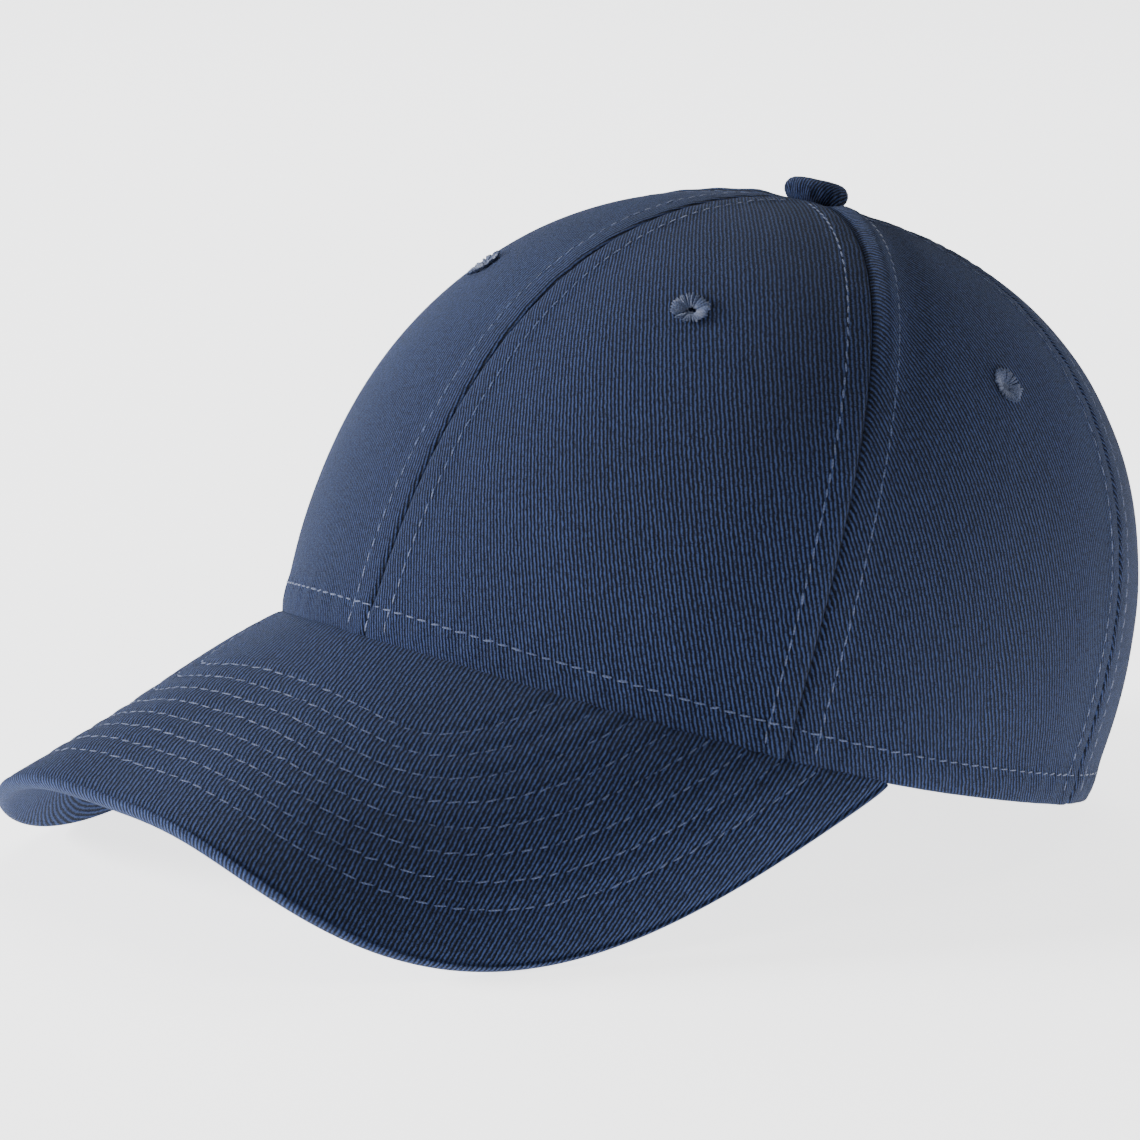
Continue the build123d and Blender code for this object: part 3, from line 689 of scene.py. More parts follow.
def panel_grid(name, across=101, along=118):
    """Points, flat pattern, outward directions and wear of one crown panel."""
    first, last, zone, seed = PANELS[name]
    rng = np.random.default_rng(seed)
    shares = fine_shares(across)
    low_azimuth, low_rise = lower_edge(first[0], last[0], shares)
    up = np.linspace(0, 1, along) ** 1.15
    top_rise = 0.995
    rise = low_rise[:, None] + (top_rise - low_rise[:, None]) * up[None, :]
    top_azimuth = first[0] + (last[0] - first[0]) * shares
    lean = (rise - low_rise[:, None]) / (top_rise - low_rise[:, None])
    azimuth = low_azimuth[:, None] * (1 - lean) + top_azimuth[:, None] * lean
    azimuth = azimuth + (first[1] + (last[1] - first[1]) * shares)[:, None] * rise
    surface = crown_skin(azimuth, rise)
    normal = crown_normal(azimuth, rise)
    width = run_length(surface, 0)
    height = run_length(surface, 1)
    from_first, from_last = width, width[-1:] - width
    around = width[:, :1] + 100.0
    total = width[-1:, :]
    fullness = {"front": 0.38, "side": 0.6, "back": 0.6}[zone]
    pillow = fullness * (4 * from_first * from_last / np.maximum(total, 1) ** 2) ** 0.8
    pillow = pillow * smoothstep(0, 22, height) * smoothstep(4, 40, total)
    first_depth = 0.34 if first[0] in (0.0, 180.0, -180.0) else 0.62
    last_depth = 0.34 if last[0] in (0.0, 180.0, -180.0) else 0.62
    relief = pillow + seam_relief(from_first, height, first_depth, rng)
    relief = relief + seam_relief(from_last, height, last_depth, rng)
    tip_fade = smoothstep(3, 14, total)
    relief = relief * tip_fade - 0.3 * (1 - tip_fade)
    relief = relief + hem_relief(height, around, rng) * smoothstep(0, 2, height)
    roll = {"front": 0.22, "side": 0.42, "back": 0.42}[zone]
    slow = wander(rng, width, height, 62.0) * roll + wander(rng, width, height, 24.0) * roll * 0.22
    relief = relief + slow * smoothstep(8, 30, np.minimum(from_first, from_last)) * smoothstep(8, 26, height)
    if zone == "side":
        front_side = from_first if first[0] > 0 else from_last
        raised = smoothstep(0.30, 0.62, rise) * (1 - smoothstep(0.93, 0.985, rise))
        ridge = 1.25 * bump(front_side, 3.3, 2.5) - 0.5 * bump(front_side, 10.5, 3.6)
        relief = relief + ridge * raised
    points = surface + normal * relief[..., None]
    flat = panel_pattern(first, last, azimuth, rise, surface) + np.array([seed * 300.0, 0.0])
    wear = 0.55 * bump(height, 0.2, 1.6) + 0.35 * bump(np.minimum(from_first, from_last), 2.2, 1.6)
    wear = wear * smoothstep(1, 6, np.minimum(from_first, from_last) + 3) + 0.15
    # the hem turns under the edge and runs up inside
    curl = CURL[zone]
    down = unit(points[:, 0] - points[:, 1])
    inner_normal = normal[:, 0]
    rows, flat_rows = [], []
    for angle in np.linspace(pi, 0, 9)[:-1]:
        centre = points[:, 0] - inner_normal * curl
        rows.append(centre + inner_normal * curl * cos(angle) + down * curl * sin(angle))
        flat_rows.append(flat[:, 0] - np.array([0, curl * angle]))
    folded = []
    for k in (9, 7, 5, 3, 1):
        folded.append(points[:, k] - normal[:, k] * 2 * curl)
        flat_rows.insert(0, flat[:, 0] - np.array([0.0, curl * pi + k]))
    flat_rows = sorted(flat_rows, key=lambda row: row[0, 1])
    points = np.concatenate([np.stack(folded + rows, 1), points], 1)
    flat = np.concatenate([np.stack(flat_rows, 1), flat], 1)
    extra = len(folded) + len(rows)
    normal = np.concatenate([np.repeat(normal[:, :1], extra, 1), normal], 1)
    wear = np.concatenate([np.repeat(wear[:, :1], extra, 1), wear], 1)
    return {
        "points": points, "flat": flat, "normal": normal, "wear": wear, "extra": extra,
        "from_first": from_first, "from_last": from_last, "height": height, "total": total,
    }


def trace(grid, values, level, low=0, high=None, axis=0):
    """Points and normals where a grid of values crosses a level, along one axis."""
    points = grid["points"][:, grid["extra"]:]
    normal = grid["normal"][:, grid["extra"]:]
    found, directions = [], []
    lines = values.T if axis == 0 else values
    for line_index, line in enumerate(lines):
        inside = np.flatnonzero((line[:-1] - level) * (line[1:] - level) <= 0)
        if not len(inside):
            continue
        k = inside[0]
        share = (level - line[k]) / (line[k + 1] - line[k] + 1e-9)
        cells = [(k, line_index), (k + 1, line_index)] if axis == 0 else [(line_index, k), (line_index, k + 1)]
        found.append(points[cells[0]] * (1 - share) + points[cells[1]] * share)
        directions.append(normal[cells[0]])
    return np.array(found), np.array(directions)


def keep_between(path, directions, start, end):
    """Part of a path between two distances from its start; a negative end counts from its end."""
    run = np.concatenate([[0], np.cumsum(np.linalg.norm(np.diff(path, axis=0), axis=1))])
    end = end if end > 0 else run[-1] + end
    inside = (run >= start) & (run <= end)
    return path[inside], directions[inside]


class CAP_OT_panels(Operator):
    """Cut and sew the six crown panels, with their hems and top stitching"""

    bl_idname = "cap.panels"
    bl_label = "Crown panels"

    def execute(self, context):
        pitch = settings().stitch_pitch
        for name, (first, last, zone, seed) in PANELS.items():
            grid = panel_grid(name)
            panel = grid_object(
                f"{name}_cloth", grid["points"], grid["flat"], cloth(), grid["normal"],
                CLOTH, grid["wear"],
            )
            cut_eyelet(panel, name)
            attach(panel, "cap", (name,))
            declare_cloth(grid["points"])
            for side, values in (("first", grid["from_first"]), ("last", grid["from_last"])):
                path, directions = trace(grid, values, SEAM_STITCH)
                path, directions = keep_between(path, directions, 0.5, -9.0)
                stitch_row(
                    f"{name}_{side}_seam_stitches", path, directions, thread(), "cap",
                    pitch, seed=seed,
                )
            path, directions = trace(grid, grid["height"], HEM_STITCH, axis=1)
            stitch_row(
                f"{name}_hem_stitches", path, directions, thread(), "cap",
                pitch, seed=seed + 20,
            )
        bar_tack()
        return {"FINISHED"}


def bar_tack():
    """The short bar of thread that locks the centre seam below the hem's stitches."""
    height = np.linspace(0.8, 5.6, 12)
    rise = rise_at(0.0, rim_height(0.0) + height)
    normal = crown_normal(0.0, rise)
    path = crown_skin(0.0, rise) + normal * 0.12
    stitch_row("centre_bar_tack", path, normal, thread(), "cap", 1.7, 2.2, 0.6, seed=7)


def declare_cloth(points):
    """Take the steps between neighbouring points of a sheet's grid; nothing further is done with them."""
    a = points[1:, :-1] - points[:-1, :-1]
    b = points[:-1, 1:] - points[:-1, :-1]


def eyelet_frame(name):
    """Centre, normal and across direction of a panel's eyelet, in mm."""
    first, last, zone, seed = PANELS[name]
    rise = EYELET_RISE[zone]
    azimuth = (seam_azimuth(first, rise) + seam_azimuth(last, rise)) / 2
    centre = crown_skin(azimuth, rise) + 0.75 * crown_normal(azimuth, rise)
    normal = crown_normal(azimuth, rise)
    side = unit(np.cross((0, 0, 1.0), normal))
    return centre, normal, side


def cut_eyelet(panel, name, reach=2.2):
    """Open the eyelet's hole by taking out the faces within reach of its centre."""
    centre, normal, side = eyelet_frame(name)
    middle = Vector(place(centre) * MM)
    bm = bmesh.new()
    bm.from_mesh(panel.data)
    inside = [f for f in bm.faces if (f.calc_center_median() - middle).length < reach * MM]
    bmesh.ops.delete(bm, geom=inside, context="FACES")
    bm.to_mesh(panel.data)
    bm.free()


# ---------------------------------------------------------------- eyelets and button


class CAP_OT_eyelets(Operator):
    """Embroider the six eyelets with satin stitches round a small hole"""

    bl_idname = "cap.eyelets"
    bl_label = "Eyelets"

    def execute(self, context):
        colour = settings().thread_colour
        material = thread_material("eyelet_thread", tuple(c * 0.72 for c in colour))
        for index, name in enumerate(PANELS):
            for inward in (False, True):
                self.embroider(index, name, material, inward)
        return {"FINISHED"}

    def embroider(self, index, name, material, inward):
        """One face of an eyelet, as satin stitches that dip into the hole."""
        centre, normal, side = eyelet_frame(name)
        if inward:
            backed = name.startswith("front")
            centre, normal = centre - normal * (3.0 if backed else 1.3), -normal
        rng = np.random.default_rng(60 + index)
        up = np.cross(normal, side)
        bm = bmesh.new()
        uv = bm.loops.layers.uv.new("flat")
        count = 62
        for k in range(count):
            angle = 2 * pi * k / count + rng.normal(0, 0.03)
            outer = EYELET_RADIUS * rng.normal(0.93, 0.05)
            inner = EYELET_HOLE * rng.normal(0.66, 0.05)
            out = side * cos(angle) + up * sin(angle)
            cross = np.cross(normal, out)
            out = unit(out + cross * rng.normal(0.07, 0.07))
            cross = np.cross(normal, out)
            half, wide, tall = (outer - inner) / 2, 0.25, 0.42
            middle = centre + out * (inner + outer) / 2 + normal * (-0.28 + rng.normal(0, 0.07))
            lean = unit(out + normal * 0.34)
            top = np.cross(lean, cross) * -1
            columns = [lay_back(v) * s * MM for v, s in ((lean, half), (cross, wide), (top, tall))]
            matrix = Matrix([[columns[c][r] for c in range(3)] for r in range(3)]).to_4x4()
            matrix.translation = Vector(place(middle) * MM)
            turn = Matrix.Rotation(pi / 2, 4, "Y")
            made = bmesh.ops.create_uvsphere(
                bm, u_segments=6, v_segments=7, radius=1.0, matrix=matrix @ turn
            )
            inverse = matrix.inverted()
            for face in {f for v in made["verts"] for f in v.link_faces}:
                for loop in face.loops:
                    local = inverse @ loop.vert.co
                    loop[uv].uv = (local.y * wide * MM, (local.x * half + k) * MM)
        bmesh.ops.recalc_face_normals(bm, faces=bm.faces)
        face = "inner" if inward else "outer"
        piece = finish_object(name.replace("_panel", f"_eyelet_{face}_embroidery"), bm, [material])
        attach(piece, "cap", (name.replace("_panel", "_eyelet"),))


class CAP_OT_button(Operator):
    """Cover the button on the apex with pleated cloth"""

    bl_idname = "cap.button"
    bl_label = "Button"

    def execute(self, context):
        radius, tall = 7.35, 4.9
        profile = [
            (0.0, tall), (2.2, tall - 0.02), (4.2, tall - 0.12), (5.6, tall - 0.42), (6.6, tall - 1.05),
            (7.2, tall - 1.95), (radius, tall - 2.9), (7.15, 1.0), (6.8, 0.0), (6.2, -0.7), (4.6, -0.8),
        ]
        apex = crown_skin(0.0, 1.0)
        bm = bmesh.new()
        vertices = [bm.verts.new((x * MM, 0, z * MM)) for x, z in profile]
        edges = [bm.edges.new(pair) for pair in zip(vertices, vertices[1:])]
        bmesh.ops.spin(
            bm, geom=vertices + edges, cent=(0, 0, 0), axis=(0, 0, 1), angle=2 * pi, steps=96,
            use_merge=True,
        )
        bmesh.ops.remove_doubles(bm, verts=bm.verts, dist=0.01 * MM)
        bmesh.ops.subdivide_edges(
            bm, edges=[e for e in bm.edges if abs(e.verts[0].co.z - e.verts[1].co.z) > 0.3 * MM],
            cuts=2, use_grid_fill=True,
        )
        rng = np.random.default_rng(5)
        shifts = rng.uniform(-0.4, 0.4, 64)
        uv = bm.loops.layers.uv.new("flat")
        for vertex in bm.verts:
            x, y, z = vertex.co / MM
            angle, out = atan2(y, x), (x * x + y * y) ** 0.5
            side = float(smoothstep(4.6, 7.0, out)) * float(smoothstep(0.0, 1.0, z))
            pleat = sin(angle * 17 + 1.4 * sin(3 * angle) + shifts[int((angle + pi) / (2 * pi) * 63)])
            low = float(smoothstep(tall - 0.8, 1.2, z))
            move = side * (0.16 * pleat * (0.3 + low) + 0.05 * sin(angle * 5))
            if out > 0:
                vertex.co.x += x / out * move * MM
                vertex.co.y += y / out * move * MM
            vertex.co.z += 0.05 * MM * sin(x * 1.1) * sin(y * 0.9)
        for face in bm.faces:
            for loop in face.loops:
                x, y, z = loop.vert.co / MM
                out = max((x * x + y * y) ** 0.5, 0.01)
                stretch = 1 + max(0.0, tall - z) / out
                loop[uv].uv = ((x * stretch + 2100) * MM, y * stretch * MM)
        bmesh.ops.recalc_face_normals(bm, faces=bm.faces)
        turn = Matrix.Rotation(-REST_PITCH, 4, "X")
        turn.translation = Vector(place(apex + np.array([0, 0, 0.1])) * MM)
        bmesh.ops.transform(bm, matrix=turn, verts=bm.verts)
        button = finish_object("button_cloth", bm, [cloth()])
        layer = button.data.attributes.new("wear", "FLOAT", "POINT")
        layer.data.foreach_set("value", [0.35] * len(button.data.vertices))
        attach(button, "cap", ("button_cover",))
        return {"FINISHED"}


# ---------------------------------------------------------------- visor

ROW_FIRST, ROW_LAST = 11.5, 53.4
VISOR_SHARE_END = 0.992
LIP_DEPTH = 7.2


def edge_distance(points):
    """Distance of points on the visor to its outer edge."""
    edge = visor_edge(np.linspace(-1, 1, 401))
    edge = edge[np.concatenate([[0], np.cumsum(np.linalg.norm(np.diff(edge, axis=0), axis=1))]) >= 0]
    flat = points.reshape(-1, 3)
    best = np.full(len(flat), 1e9)
    where = np.zeros(len(flat))
    run = np.concatenate([[0], np.cumsum(np.linalg.norm(np.diff(edge, axis=0), axis=1))])
    for k in range(len(edge) - 1):
        a, b = edge[k], edge[k + 1]
        d = b - a
        t = np.clip(((flat - a) @ d) / max(float(d @ d), 1e-9), 0, 1)
        away = np.linalg.norm(flat - a - t[:, None] * d, axis=1)
        closer = away < best
        best = np.where(closer, away, best)
        where = np.where(closer, run[k] + t * (run[k + 1] - run[k]), where)
    return best.reshape(points.shape[:-1]), where.reshape(points.shape[:-1])


def row_distances():
    return np.linspace(ROW_FIRST, ROW_LAST, settings().visor_rows)


def quilting(distance, along, sign=1.0):
    """Height of the visor cloth between and at its stitch rows."""
    relief = np.zeros_like(distance)
    step = row_distances()[1] - row_distances()[0]
    for k, row in enumerate(row_distances()):
        dimples = 0.62 + 0.38 * np.cos(2 * pi * along / 4.0 + k)
        relief -= 0.42 * bump(distance, row, 0.95) * dimples
        relief += 0.16 * bump(distance, row + step / 2, 1.7)
        relief += 0.10 * bump(distance, row, 2.6) * np.sin(2 * pi * along / 8.0 + 2.0 * k)
    return relief * sign


def unroll(points, normal, start, heading):
    """Lay lines of points out flat, keeping each step and each turn within the surface."""
    steps = np.diff(points, axis=-2)
    way = unit(steps)
    bend = (np.cross(way[..., :-1, :], way[..., 1:, :]) * normal[..., 1:-1, :]).sum(-1)
    turned = np.cumsum(np.arcsin(np.clip(bend, -1, 1)), axis=-1)
    turned = np.concatenate([np.zeros_like(bend[..., :1]), turned], -1)
    angle = heading[..., None] + turned
    moves = np.stack([np.cos(angle), np.sin(angle)], -1) * np.linalg.norm(steps, axis=-1)[..., None]
    start = start[..., None, :]
    return np.concatenate([start, start + np.cumsum(moves, axis=-2)], -2)


def visor_pattern(surface, normal, root):
    """Flat pattern of the visor: its root row laid out, then each column out from that row."""
    middle = len(surface) // 2
    here = np.zeros(2)
    line, up = surface[:, root], normal[:, root]
    right = unroll(line[middle:], up[middle:], here, np.array(0.0))
    left = unroll(line[middle::-1], up[middle::-1], here, np.array(pi))
    base = np.concatenate([left[:0:-1], right])
    across = np.gradient(base, axis=0)
    tangent, out = unit(np.gradient(line, axis=0)), unit(surface[:, root + 1] - surface[:, root])
    angle = np.arctan2((np.cross(tangent, out) * up).sum(-1), (tangent * out).sum(-1))
    heading = np.arctan2(across[:, 1], across[:, 0]) + angle
    ahead = unroll(surface[:, root:], normal[:, root:], base, heading)
    behind = unroll(surface[:, root::-1], normal[:, root::-1], base, heading + pi)
    flat = np.concatenate([behind[:, :0:-1], ahead], 1)
    return flat * np.array([1.0, -1.0])


class CAP_OT_visor(Operator):
    """Shape the visor with its covers, edge and rows of stitching"""

    bl_idname = "cap.visor"
    bl_label = "Visor"

    def execute(self, context):
        twill = twill_material("navy_twill_visor", settings().cloth_colour, 25.0, 1.0, 0.30)
        share = VISOR_SHARE_END * np.sin(np.linspace(-pi / 2, pi / 2, 221))
        reach = np.concatenate([np.linspace(-0.05, 0.0, 4)[:-1], np.linspace(0, 1, 84) ** 0.95])
        s, r = np.meshgrid(share, reach, indexing="ij")
        surface = visor_skin(s, r)
        normal = visor_normal(s, r)
        distance, along = edge_distance(surface)
        relief = quilting(distance, along) + 0.12 * wander(np.random.default_rng(3), along, distance, 45.0)
        relief = relief - 0.55 * (1 - smoothstep(0, 2.4, distance)) ** 2
        root = run_length(surface, 1) - run_length(surface, 1)[:, 3:4]
        relief = relief - 0.9 * (1 - smoothstep(-2.0, 0.9, root))
        top = surface + normal * relief[..., None]
        # round the edge and come back underneath
        out = unit(surface[:, -1] - surface[:, -3])
        last_normal = normal[:, -1]
        half = VISOR_THICKNESS / 2
        centre = surface[:, -1] - last_normal * half
        bend = []
        for angle in np.linspace(pi / 2, -pi / 2, 15)[1:]:
            bend.append(centre + last_normal * half * sin(angle) + out * half * 0.8 * cos(angle))
        lip = []
        for back in (2.0, 4.0, 6.0, 7.4, 8.0):
            lift = 0.0 if back < 7 else 0.25
            step = np.interp(back, [0, 10], [0, 1])
            inner = visor_skin(share, 1 - back / 62.0)
            thin = np.minimum(1.0, run_length(surface, 1)[:, -1] / 20.0)
            lip_point = surface[:, -1] + (inner - surface[:, -1]) * thin[:, None]
            lip.append(lip_point - last_normal * (VISOR_THICKNESS - lift))
        points = np.concatenate([top, np.stack(bend + lip, 1)], 1)
        extra = len(bend) + len(lip)
        normals = np.concatenate(
            [normal, np.repeat(out[:, None], len(bend), 1), np.repeat(-last_normal[:, None], len(lip), 1)], 1
        )
        pattern = visor_pattern(surface, normal, 3) + np.array([900.0, 0.0])
        onward = unit(pattern[:, -1] - pattern[:, -5])[:, None]
        travelled = run_length(points, 1)[:, -extra:] - run_length(points, 1)[:, -extra - 1:-extra]
        flat = np.concatenate([pattern, pattern[:, -1:] + onward * travelled[..., None]], 1)
        wear = 0.15 + 0.9 * bump(distance, 0.0, 1.5) + 0.2 * bump(distance, ROW_FIRST / 2, 2.5)
        wear = np.concatenate([wear, np.repeat(wear[:, -1:], extra, 1)], 1)
        weights = np.concatenate([np.ones(top.shape[:2]), np.zeros((len(share), extra))], 1)
        cover = grid_object("visor_top_cloth", points, flat, twill, normals * weights[..., None], 0.5, wear)
        attach(cover, "cap", ("visor_top_cover",))
        declare_cloth(points)
        self.line(surface[:, 3:], normal[:, 3:], distance[:, 3:], along[:, 3:], pattern[:, 3:], twill)
        self.sew(top, normal, distance)
        return {"FINISHED"}

    def line(self, surface, normal, distance, along, pattern, twill):
        """The under cloth, which stops where the upper cloth's lip begins."""
        relief = quilting(distance, along) * 0.8
        under = surface - normal * (VISOR_THICKNESS - 0.15 + relief)[..., None]
        columns, rows = under.shape[:2]
        last = rows - 1 - (distance[:, ::-1] >= LIP_DEPTH).argmax(1)
        last = np.where(distance.max(1) < LIP_DEPTH, rows // 2, last)
        places = np.linspace(0, 1, 70)[None, :] * last[:, None]
        low = np.clip(places.astype(int), 0, rows - 2)
        part = (places - low)[..., None]
        column = np.arange(columns)[:, None]
        points = under[column, low] * (1 - part) + under[column, low + 1] * part
        flat = pattern[column, low] * (1 - part) + pattern[column, low + 1] * part
        lining = grid_object(
            "visor_under_cloth", points, flat + np.array([400.0, 0.0]), twill,
            -normal[column, low], 0.5,
        )
        attach(lining, "cap", ("visor_under_cover",))
        declare_cloth(points)

    def sew(self, top, normal, distance):
        grid = {"points": top, "normal": normal, "extra": 0}
        for index, row in enumerate(row_distances()):
            path, directions = trace(grid, distance, row, axis=1)
            path, directions = keep_between(path, directions, 0.5, -0.5)
            stitch_row(
                f"visor_row_{index + 1}_stitches", path, directions, thread(), "cap",
                4.0, 3.0, 0.40, 0.02, seed=40 + index,
            )
            under_path = path - directions * (VISOR_THICKNESS + 0.1)
            stitch_row(
                f"visor_under_row_{index + 1}_stitches", under_path, -directions, thread(), "cap",
                4.0, 2.8, 0.46, 0.15, seed=50 + index,
            )


# ---------------------------------------------------------------- layers inside the crown

SEAMS = {
    "centre_front_tape": ((0.0, 0.0), 2.4, 0.3),
    "front_left_tape": (FRONT_SEAM, 2.4, 0.3),
    "front_right_tape": ((-FRONT_SEAM[0], -FRONT_SEAM[1]), 2.4, 0.3),
    "centre_back_tape": ((180.0, 0.0), 1.7, 0.5),
    "back_left_tape": (BACK_SEAM, 1.7, 0.5),
    "back_right_tape": ((-BACK_SEAM[0], -BACK_SEAM[1]), 1.7, 0.5),
}


def layer_grid(azimuth, rise, depth):
    """Points inside the crown at a depth, their inward directions, and the flat pattern."""
    normal = crown_normal(azimuth, rise)
    points = crown_skin(azimuth, rise) - normal * np.asarray(depth)[..., None]
    width, height = run_length(points, 0), run_length(points, 1)
    return points, -normal, np.stack([width - width[-1:] / 2, height], -1)


def lining_stitches(name, points, inward, seed, pitch=3.4):
    return stitch_row(name, points, inward, tape_thread(), "cap", pitch, 2.4, 0.4, seed=seed)


def tape_thread():
    found = bpy.data.materials.get("inside_thread")
    return found or thread_material("inside_thread", (0.20, 0.23, 0.30))


class CAP_OT_backing(Operator):
    """Line the two front panels with buckram"""

    bl_idname = "cap.backing"
    bl_label = "Front backing"

    def execute(self, context):
        material = plain_weave_material("buckram_weave", (0.52, 0.54, 0.55), 0.9, 0.3)
        for name in ("front_left", "front_right"):
            first, last, zone, seed = PANELS[f"{name}_panel"]
            shares = np.linspace(0, 1, 60)[:, None]
            up = np.linspace(0, 1, 90)[None, :]
            base = first[0] + (last[0] - first[0]) * shares
            low = rise_at(base, rim_height(base) + 2.0)
            rise = low + (0.96 - low) * up
            start, end = seam_azimuth(first, rise) + 0.4, seam_azimuth(last, rise) - 0.4
            azimuth = start + (end - start) * shares
            depth = 1.75 + 0.12 * wander(np.random.default_rng(seed), azimuth, rise * 90, 20.0)
            points, inward, flat = layer_grid(azimuth, rise, depth)
            backing = grid_object(f"{name}_buckram_cloth", points, flat, material, inward, 0.5)
            cut_eyelet(backing, f"{name}_panel", 3.7)
            attach(backing, "cap", (f"{name}_buckram",))
            declare_cloth(points)
        return {"FINISHED"}


class CAP_OT_tapes(Operator):
    """Sew tape over the six seams inside, and round the arch"""

    bl_idname = "cap.tapes"
    bl_label = "Seam tapes"

    def execute(self, context):
        material = plain_weave_material("seam_tape_weave", (0.040, 0.052, 0.085), 0.62, 0.45)
        for index, (name, (seam, depth, hump)) in enumerate(SEAMS.items()):
            low = rise_at(seam[0], rim_height(seam[0]) + 3.0)
            low = 0.44 if name == "centre_back_tape" else max(float(low), 0.03)
            across = np.linspace(-9.0, 9.0, 25)[:, None]
            rise = low + (0.975 - low) * np.linspace(0, 1, 130)[None, :]
            middle = seam_azimuth(seam, rise)
            centre = crown_skin(middle, rise)
            radius = np.hypot(centre[..., 0], centre[..., 1] - TOP_SHIFT)
            azimuth = middle + np.degrees(across / radius)
            rows = depth + hump * bump(across, 0, 3.5) + 0.0 * rise
            rows = rows - 0.25 * bump(np.abs(across), 7.2, 0.8) + 0.32 * index * smoothstep(0.84, 0.92, rise)
            ripple = 0.12 * np.sin(rise * 95 + index) * bump(np.abs(across), 9.0, 2.5)
            points, inward, flat = layer_grid(azimuth, rise + 0 * across, rows + ripple)
            flat = flat + np.array([0.0, 40.0 * index])
            tape = grid_object(f"{name}_cloth", points, flat, material, inward, 0.35)
            attach(tape, "cap", (name,))
            declare_cloth(points)
            for side, column in (("left", 3), ("right", 21)):
                lining_stitches(f"{name}_{side}_stitches", points[column], inward[column], index)
        self.arch_tape(material)
        return {"FINISHED"}

    def arch_tape(self, material):
        angle = np.linspace(radians(11), radians(169), 90)[:, None]
        out = ARCH_HALF_WIDTH + np.linspace(1.0, 11.5, 12)[None, :]
        x, height = out * np.cos(angle), ARCH_SHOULDER + out * np.sin(angle)
        azimuth = back_azimuth(np.abs(x), height)
        azimuth = np.where(x < 0, 360 - azimuth, azimuth)
        rise = rise_at(azimuth, height)
        depth = 1.5 + 0.08 * np.sin(angle * 40) * (out > 40)
        points, inward, flat = layer_grid(azimuth, rise, depth)
        facing = grid_object("arch_facing_cloth", points, flat, material, inward, 0.35)
        attach(facing, "cap", ("arch_facing",))
        declare_cloth(points)
        lining_stitches("arch_facing_stitches", points[:, 9], inward[:, 9], 31)


class CAP_OT_sweatband(Operator):
    """Sew in the sweatband with its interlining and the blank care label"""

    bl_idname = "cap.sweatband"
    bl_label = "Sweatband"

    def execute(self, context):
        band = twill_material("sweatband_twill", (0.022, 0.031, 0.060), 38.0, 0.9, 0.16, 0.6)
        felt = plain_weave_material("interlining_weave", (0.62, 0.62, 0.60), 0.8, 0.12)
        # depth and height of the band's section, from the hem over its rolled top and back down
        section = [(2.4, 2.0), (3.3, 1.0), (4.6, 1.0), (5.6, 2.0)]
        section += [(6.0, height) for height in np.linspace(3.4, 31.6, 24)]
        section += [(5.8, 32.6), (5.2, 33.0), (4.6, 32.6), (4.5, 30.5), (4.5, 27.5), (4.5, 25.0)]
        azimuth = np.linspace(-BAND_END, BAND_END, 260)
        rows = np.array(section)
        pull = 0.10 * np.sin(azimuth * 0.9) + 0.08 * np.sin(azimuth * 2.3)
        self.make_band("sweatband_cloth", azimuth, rows, pull, band, 0.4, "sweatband", "sweatband")
        flat_section = np.array([(5.1, height) for height in np.linspace(3.0, 30.0, 14)])
        self.make_band(
            "sweatband_interlining_cloth", azimuth[::2], flat_section, pull[::2] * 0, felt, 0.35,
            "interlining", "sweatband_interlining",
        )
        self.label()
        for number, height in enumerate((5.0, 30.2)):
            points, inward = self.at(azimuth, np.full(260, 6.02), np.full(260, height))
            lining_stitches(f"sweatband_stitches_{number + 1}", points, inward, 70 + number)
        return {"FINISHED"}

    def at(self, azimuth, depth, height):
        """Points at a depth and a height above the rim, and their inward directions."""
        rise = rise_at(azimuth, rim_height(azimuth) + height)
        normal = crown_normal(azimuth, rise)
        return crown_skin(azimuth, rise) - normal * depth[..., None], -normal

    def make_band(self, name, azimuth, section, pull, material, thickness, slot, node):
        turns, depth = np.meshgrid(azimuth, section[:, 0], indexing="ij")
        height = np.repeat(section[None, :, 1], len(azimuth), 0)
        depth = depth + pull[:, None] * bump(height, 18.0, 9.0)
        points, inward = self.at(turns, depth, height)
        flat = np.stack([run_length(points, 0), run_length(points, 1)], -1)
        flat[..., 0] = flat[:, -1:, 0]
        made = grid_object(name, points, flat, material, inward, thickness)
        attach(made, "cap", (node,))
        declare_cloth(points)

    def label(self):
        satin = plain_weave_material("label_satin", (0.72, 0.72, 0.70), 0.35, 0.08, 0.45)
        half = np.degrees(15.0 / HALF_WIDTH)
        turns, heights = np.meshgrid(
            np.linspace(100.0 - half, 100.0 + half, 40), np.linspace(9.0, 25.0, 24), indexing="ij"
        )
        edge = np.minimum(heights - 9.0, 25.0 - heights)
        depth = 6.45 + 0.12 * smoothstep(0.5, 4.0, edge)
        points, inward = self.at(turns, depth, heights)
        flat = np.stack([run_length(points, 0), run_length(points, 1)], -1)
        label = grid_object("care_label_satin", points, flat, satin, inward, 0.22)
        attach(label, "cap", ("care_label",))
        declare_cloth(points)
        for number, column in enumerate((2, 37)):
            lining_stitches(
                f"care_label_stitches_{number + 1}", points[column], inward[column], 80 + number, 2.4
            )


# ---------------------------------------------------------------- strap, tab and metal


def strap_point(arc, height, depth):
    """Point of the strap's round, by arc length, height and depth behind the crown's face."""
    arc, height, depth = np.broadcast_arrays(arc, height, depth)
    radius = STRAP_RADIUS + STRAP_LEAN * (height - (STRAP_LOW + STRAP_HIGH) / 2) - depth
    x, y = radius * np.sin(arc / STRAP_RADIUS), STRAP_CENTRE + radius * np.cos(arc / STRAP_RADIUS)
    return np.stack([x, y, height + 0.0], -1)


